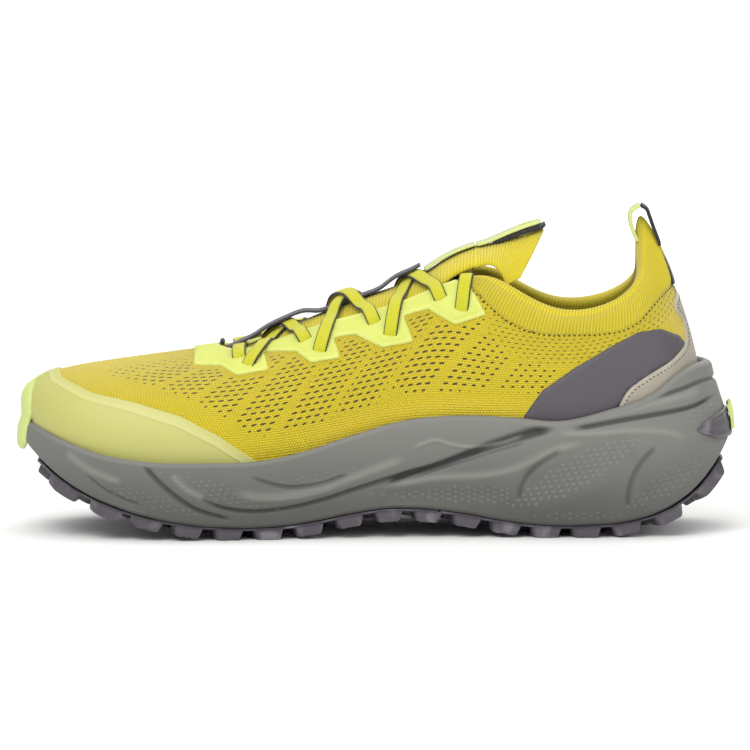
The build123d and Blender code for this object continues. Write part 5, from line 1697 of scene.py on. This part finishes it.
def build_insole():
    """The insole's top sheet with raised edges."""
    foot = np.array([(row[0], y) for row, y in around(MERIDIANS)], float)
    ahead = unit(np.roll(foot, -1, 0) - np.roll(foot, 1, 0))
    inward = np.stack([-ahead[:, 1], ahead[:, 0]], 1)
    center = foot.mean(0)
    if ((foot + inward * 3 - center) ** 2).sum() > ((foot - inward * 3 - center) ** 2).sum():
        inward = -inward
    places = np.arange(520) * ROUND / 520
    rows = []
    for distance, rise in ((3.0, 1.5), (3.0, 4.6), (3.3, 5.3), (4.0, 5.7), (6, 5.65), (9, 5.4), (13, 5.2), (18, 5.1)):
        moved = foot + inward * distance
        ring = loop_point(moved, loop_tangents(moved), places)
        rows.append(np.concatenate([ring, (footbed_z(ring[:, 0]) + rise)[:, None]], 1))
    last = rows[-1]
    heart = last * np.array([0.9, 0.0, 1.0])
    for share in np.linspace(0, 1, 14)[1:]:
        ring = last + (heart - last) * share
        ring[:, 2] = footbed_z(ring[:, 0]) + 5.1
        rows.append(ring)
    points = np.array(rows)
    make_piece("insole_sheet", points.reshape(-1, 3), grid_faces(len(rows), 520, False, True, flip=True), [INSOLE_KNIT], "shoe", ["insole"])


build_tongue()
build_tapes()
build_laces()
build_heel()
build_insole()


# ---------------------------------------------------------------- floor, light and camera
FLOOR_REACH = 9.0
FLOOR_GLOW = 0.5


def build_stage():
    """A wide pale floor that keeps its brightness away from the lamps, so no horizon shows."""
    floor_mesh = bpy.data.meshes.new("studio_floor")
    corners = [(-FLOOR_REACH, -FLOOR_REACH), (FLOOR_REACH, -FLOOR_REACH), (FLOOR_REACH, FLOOR_REACH), (-FLOOR_REACH, FLOOR_REACH)]
    floor_mesh.from_pydata([(x, y, -0.0002) for x, y in corners], [], [(0, 1, 2, 3)])
    n = Nodes("floor_paint", 0.9)
    grain = n.noise(30.0, 3.0)
    far = n.add("ShaderNodeVectorMath", operation="LENGTH")
    n.put(far.inputs[0], n.place())
    n.put(n.shader.inputs["Emission Color"], (1.0, 1.0, 1.0, 1.0))
    n.put(n.shader.inputs["Emission Strength"], n.math("MULTIPLY", n.ramp(far.outputs["Value"], 0.5, 1.6), FLOOR_GLOW))
    floor_mesh.materials.append(n.finish(n.mix(n.math("MULTIPLY", grain, 0.3), linear("F4F4F2"), linear("EEEEEC")), 0.9))
    floor = bpy.data.objects.new("studio_floor", floor_mesh)
    bpy.context.scene.collection.objects.link(floor)


def area_light(name, place, target, size, power):
    light = bpy.data.lights.new(name, "AREA")
    light.shape, light.size, light.energy = "SQUARE", size, power
    lamp = bpy.data.objects.new(name, light)
    lamp.location = place
    lamp.rotation_euler = (Vector(target) - Vector(place)).to_track_quat("-Z", "Y").to_euler()
    bpy.context.scene.collection.objects.link(lamp)


def build_light_and_camera():
    middle = (0, 0, 0.06)
    area_light("key_light", (0.35, 1.0, 1.1), middle, 1.0, 14)
    area_light("fill_light", (-1.1, 0.9, 0.5), middle, 1.2, 5)
    area_light("top_light", (0.0, -0.3, 1.4), middle, 1.4, 9)
    area_light("back_light", (-0.5, -1.3, 0.9), middle, 1.2, 7)
    world = bpy.data.worlds.new("studio_world")
    world.use_nodes = True
    world.node_tree.nodes["Background"].inputs["Color"].default_value = (1, 1, 1, 1)
    world.node_tree.nodes["Background"].inputs["Strength"].default_value = 0.55
    bpy.context.scene.world = world
    camera_data = bpy.data.cameras.new("camera")
    camera_data.lens = 410
    camera_data.clip_end = 20
    camera = bpy.data.objects.new("camera", camera_data)
    elevation = math.radians(6)
    target = Vector((0, 0.045, 0.0681))
    camera.location = target + Vector((0, math.cos(elevation), math.sin(elevation))) * 3.514
    camera.rotation_euler = (target - camera.location).to_track_quat("-Z", "Y").to_euler()
    bpy.context.scene.collection.objects.link(camera)
    bpy.context.scene.camera = camera
    bpy.context.scene.view_settings.view_transform = "Standard"


build_stage()
build_light_and_camera()
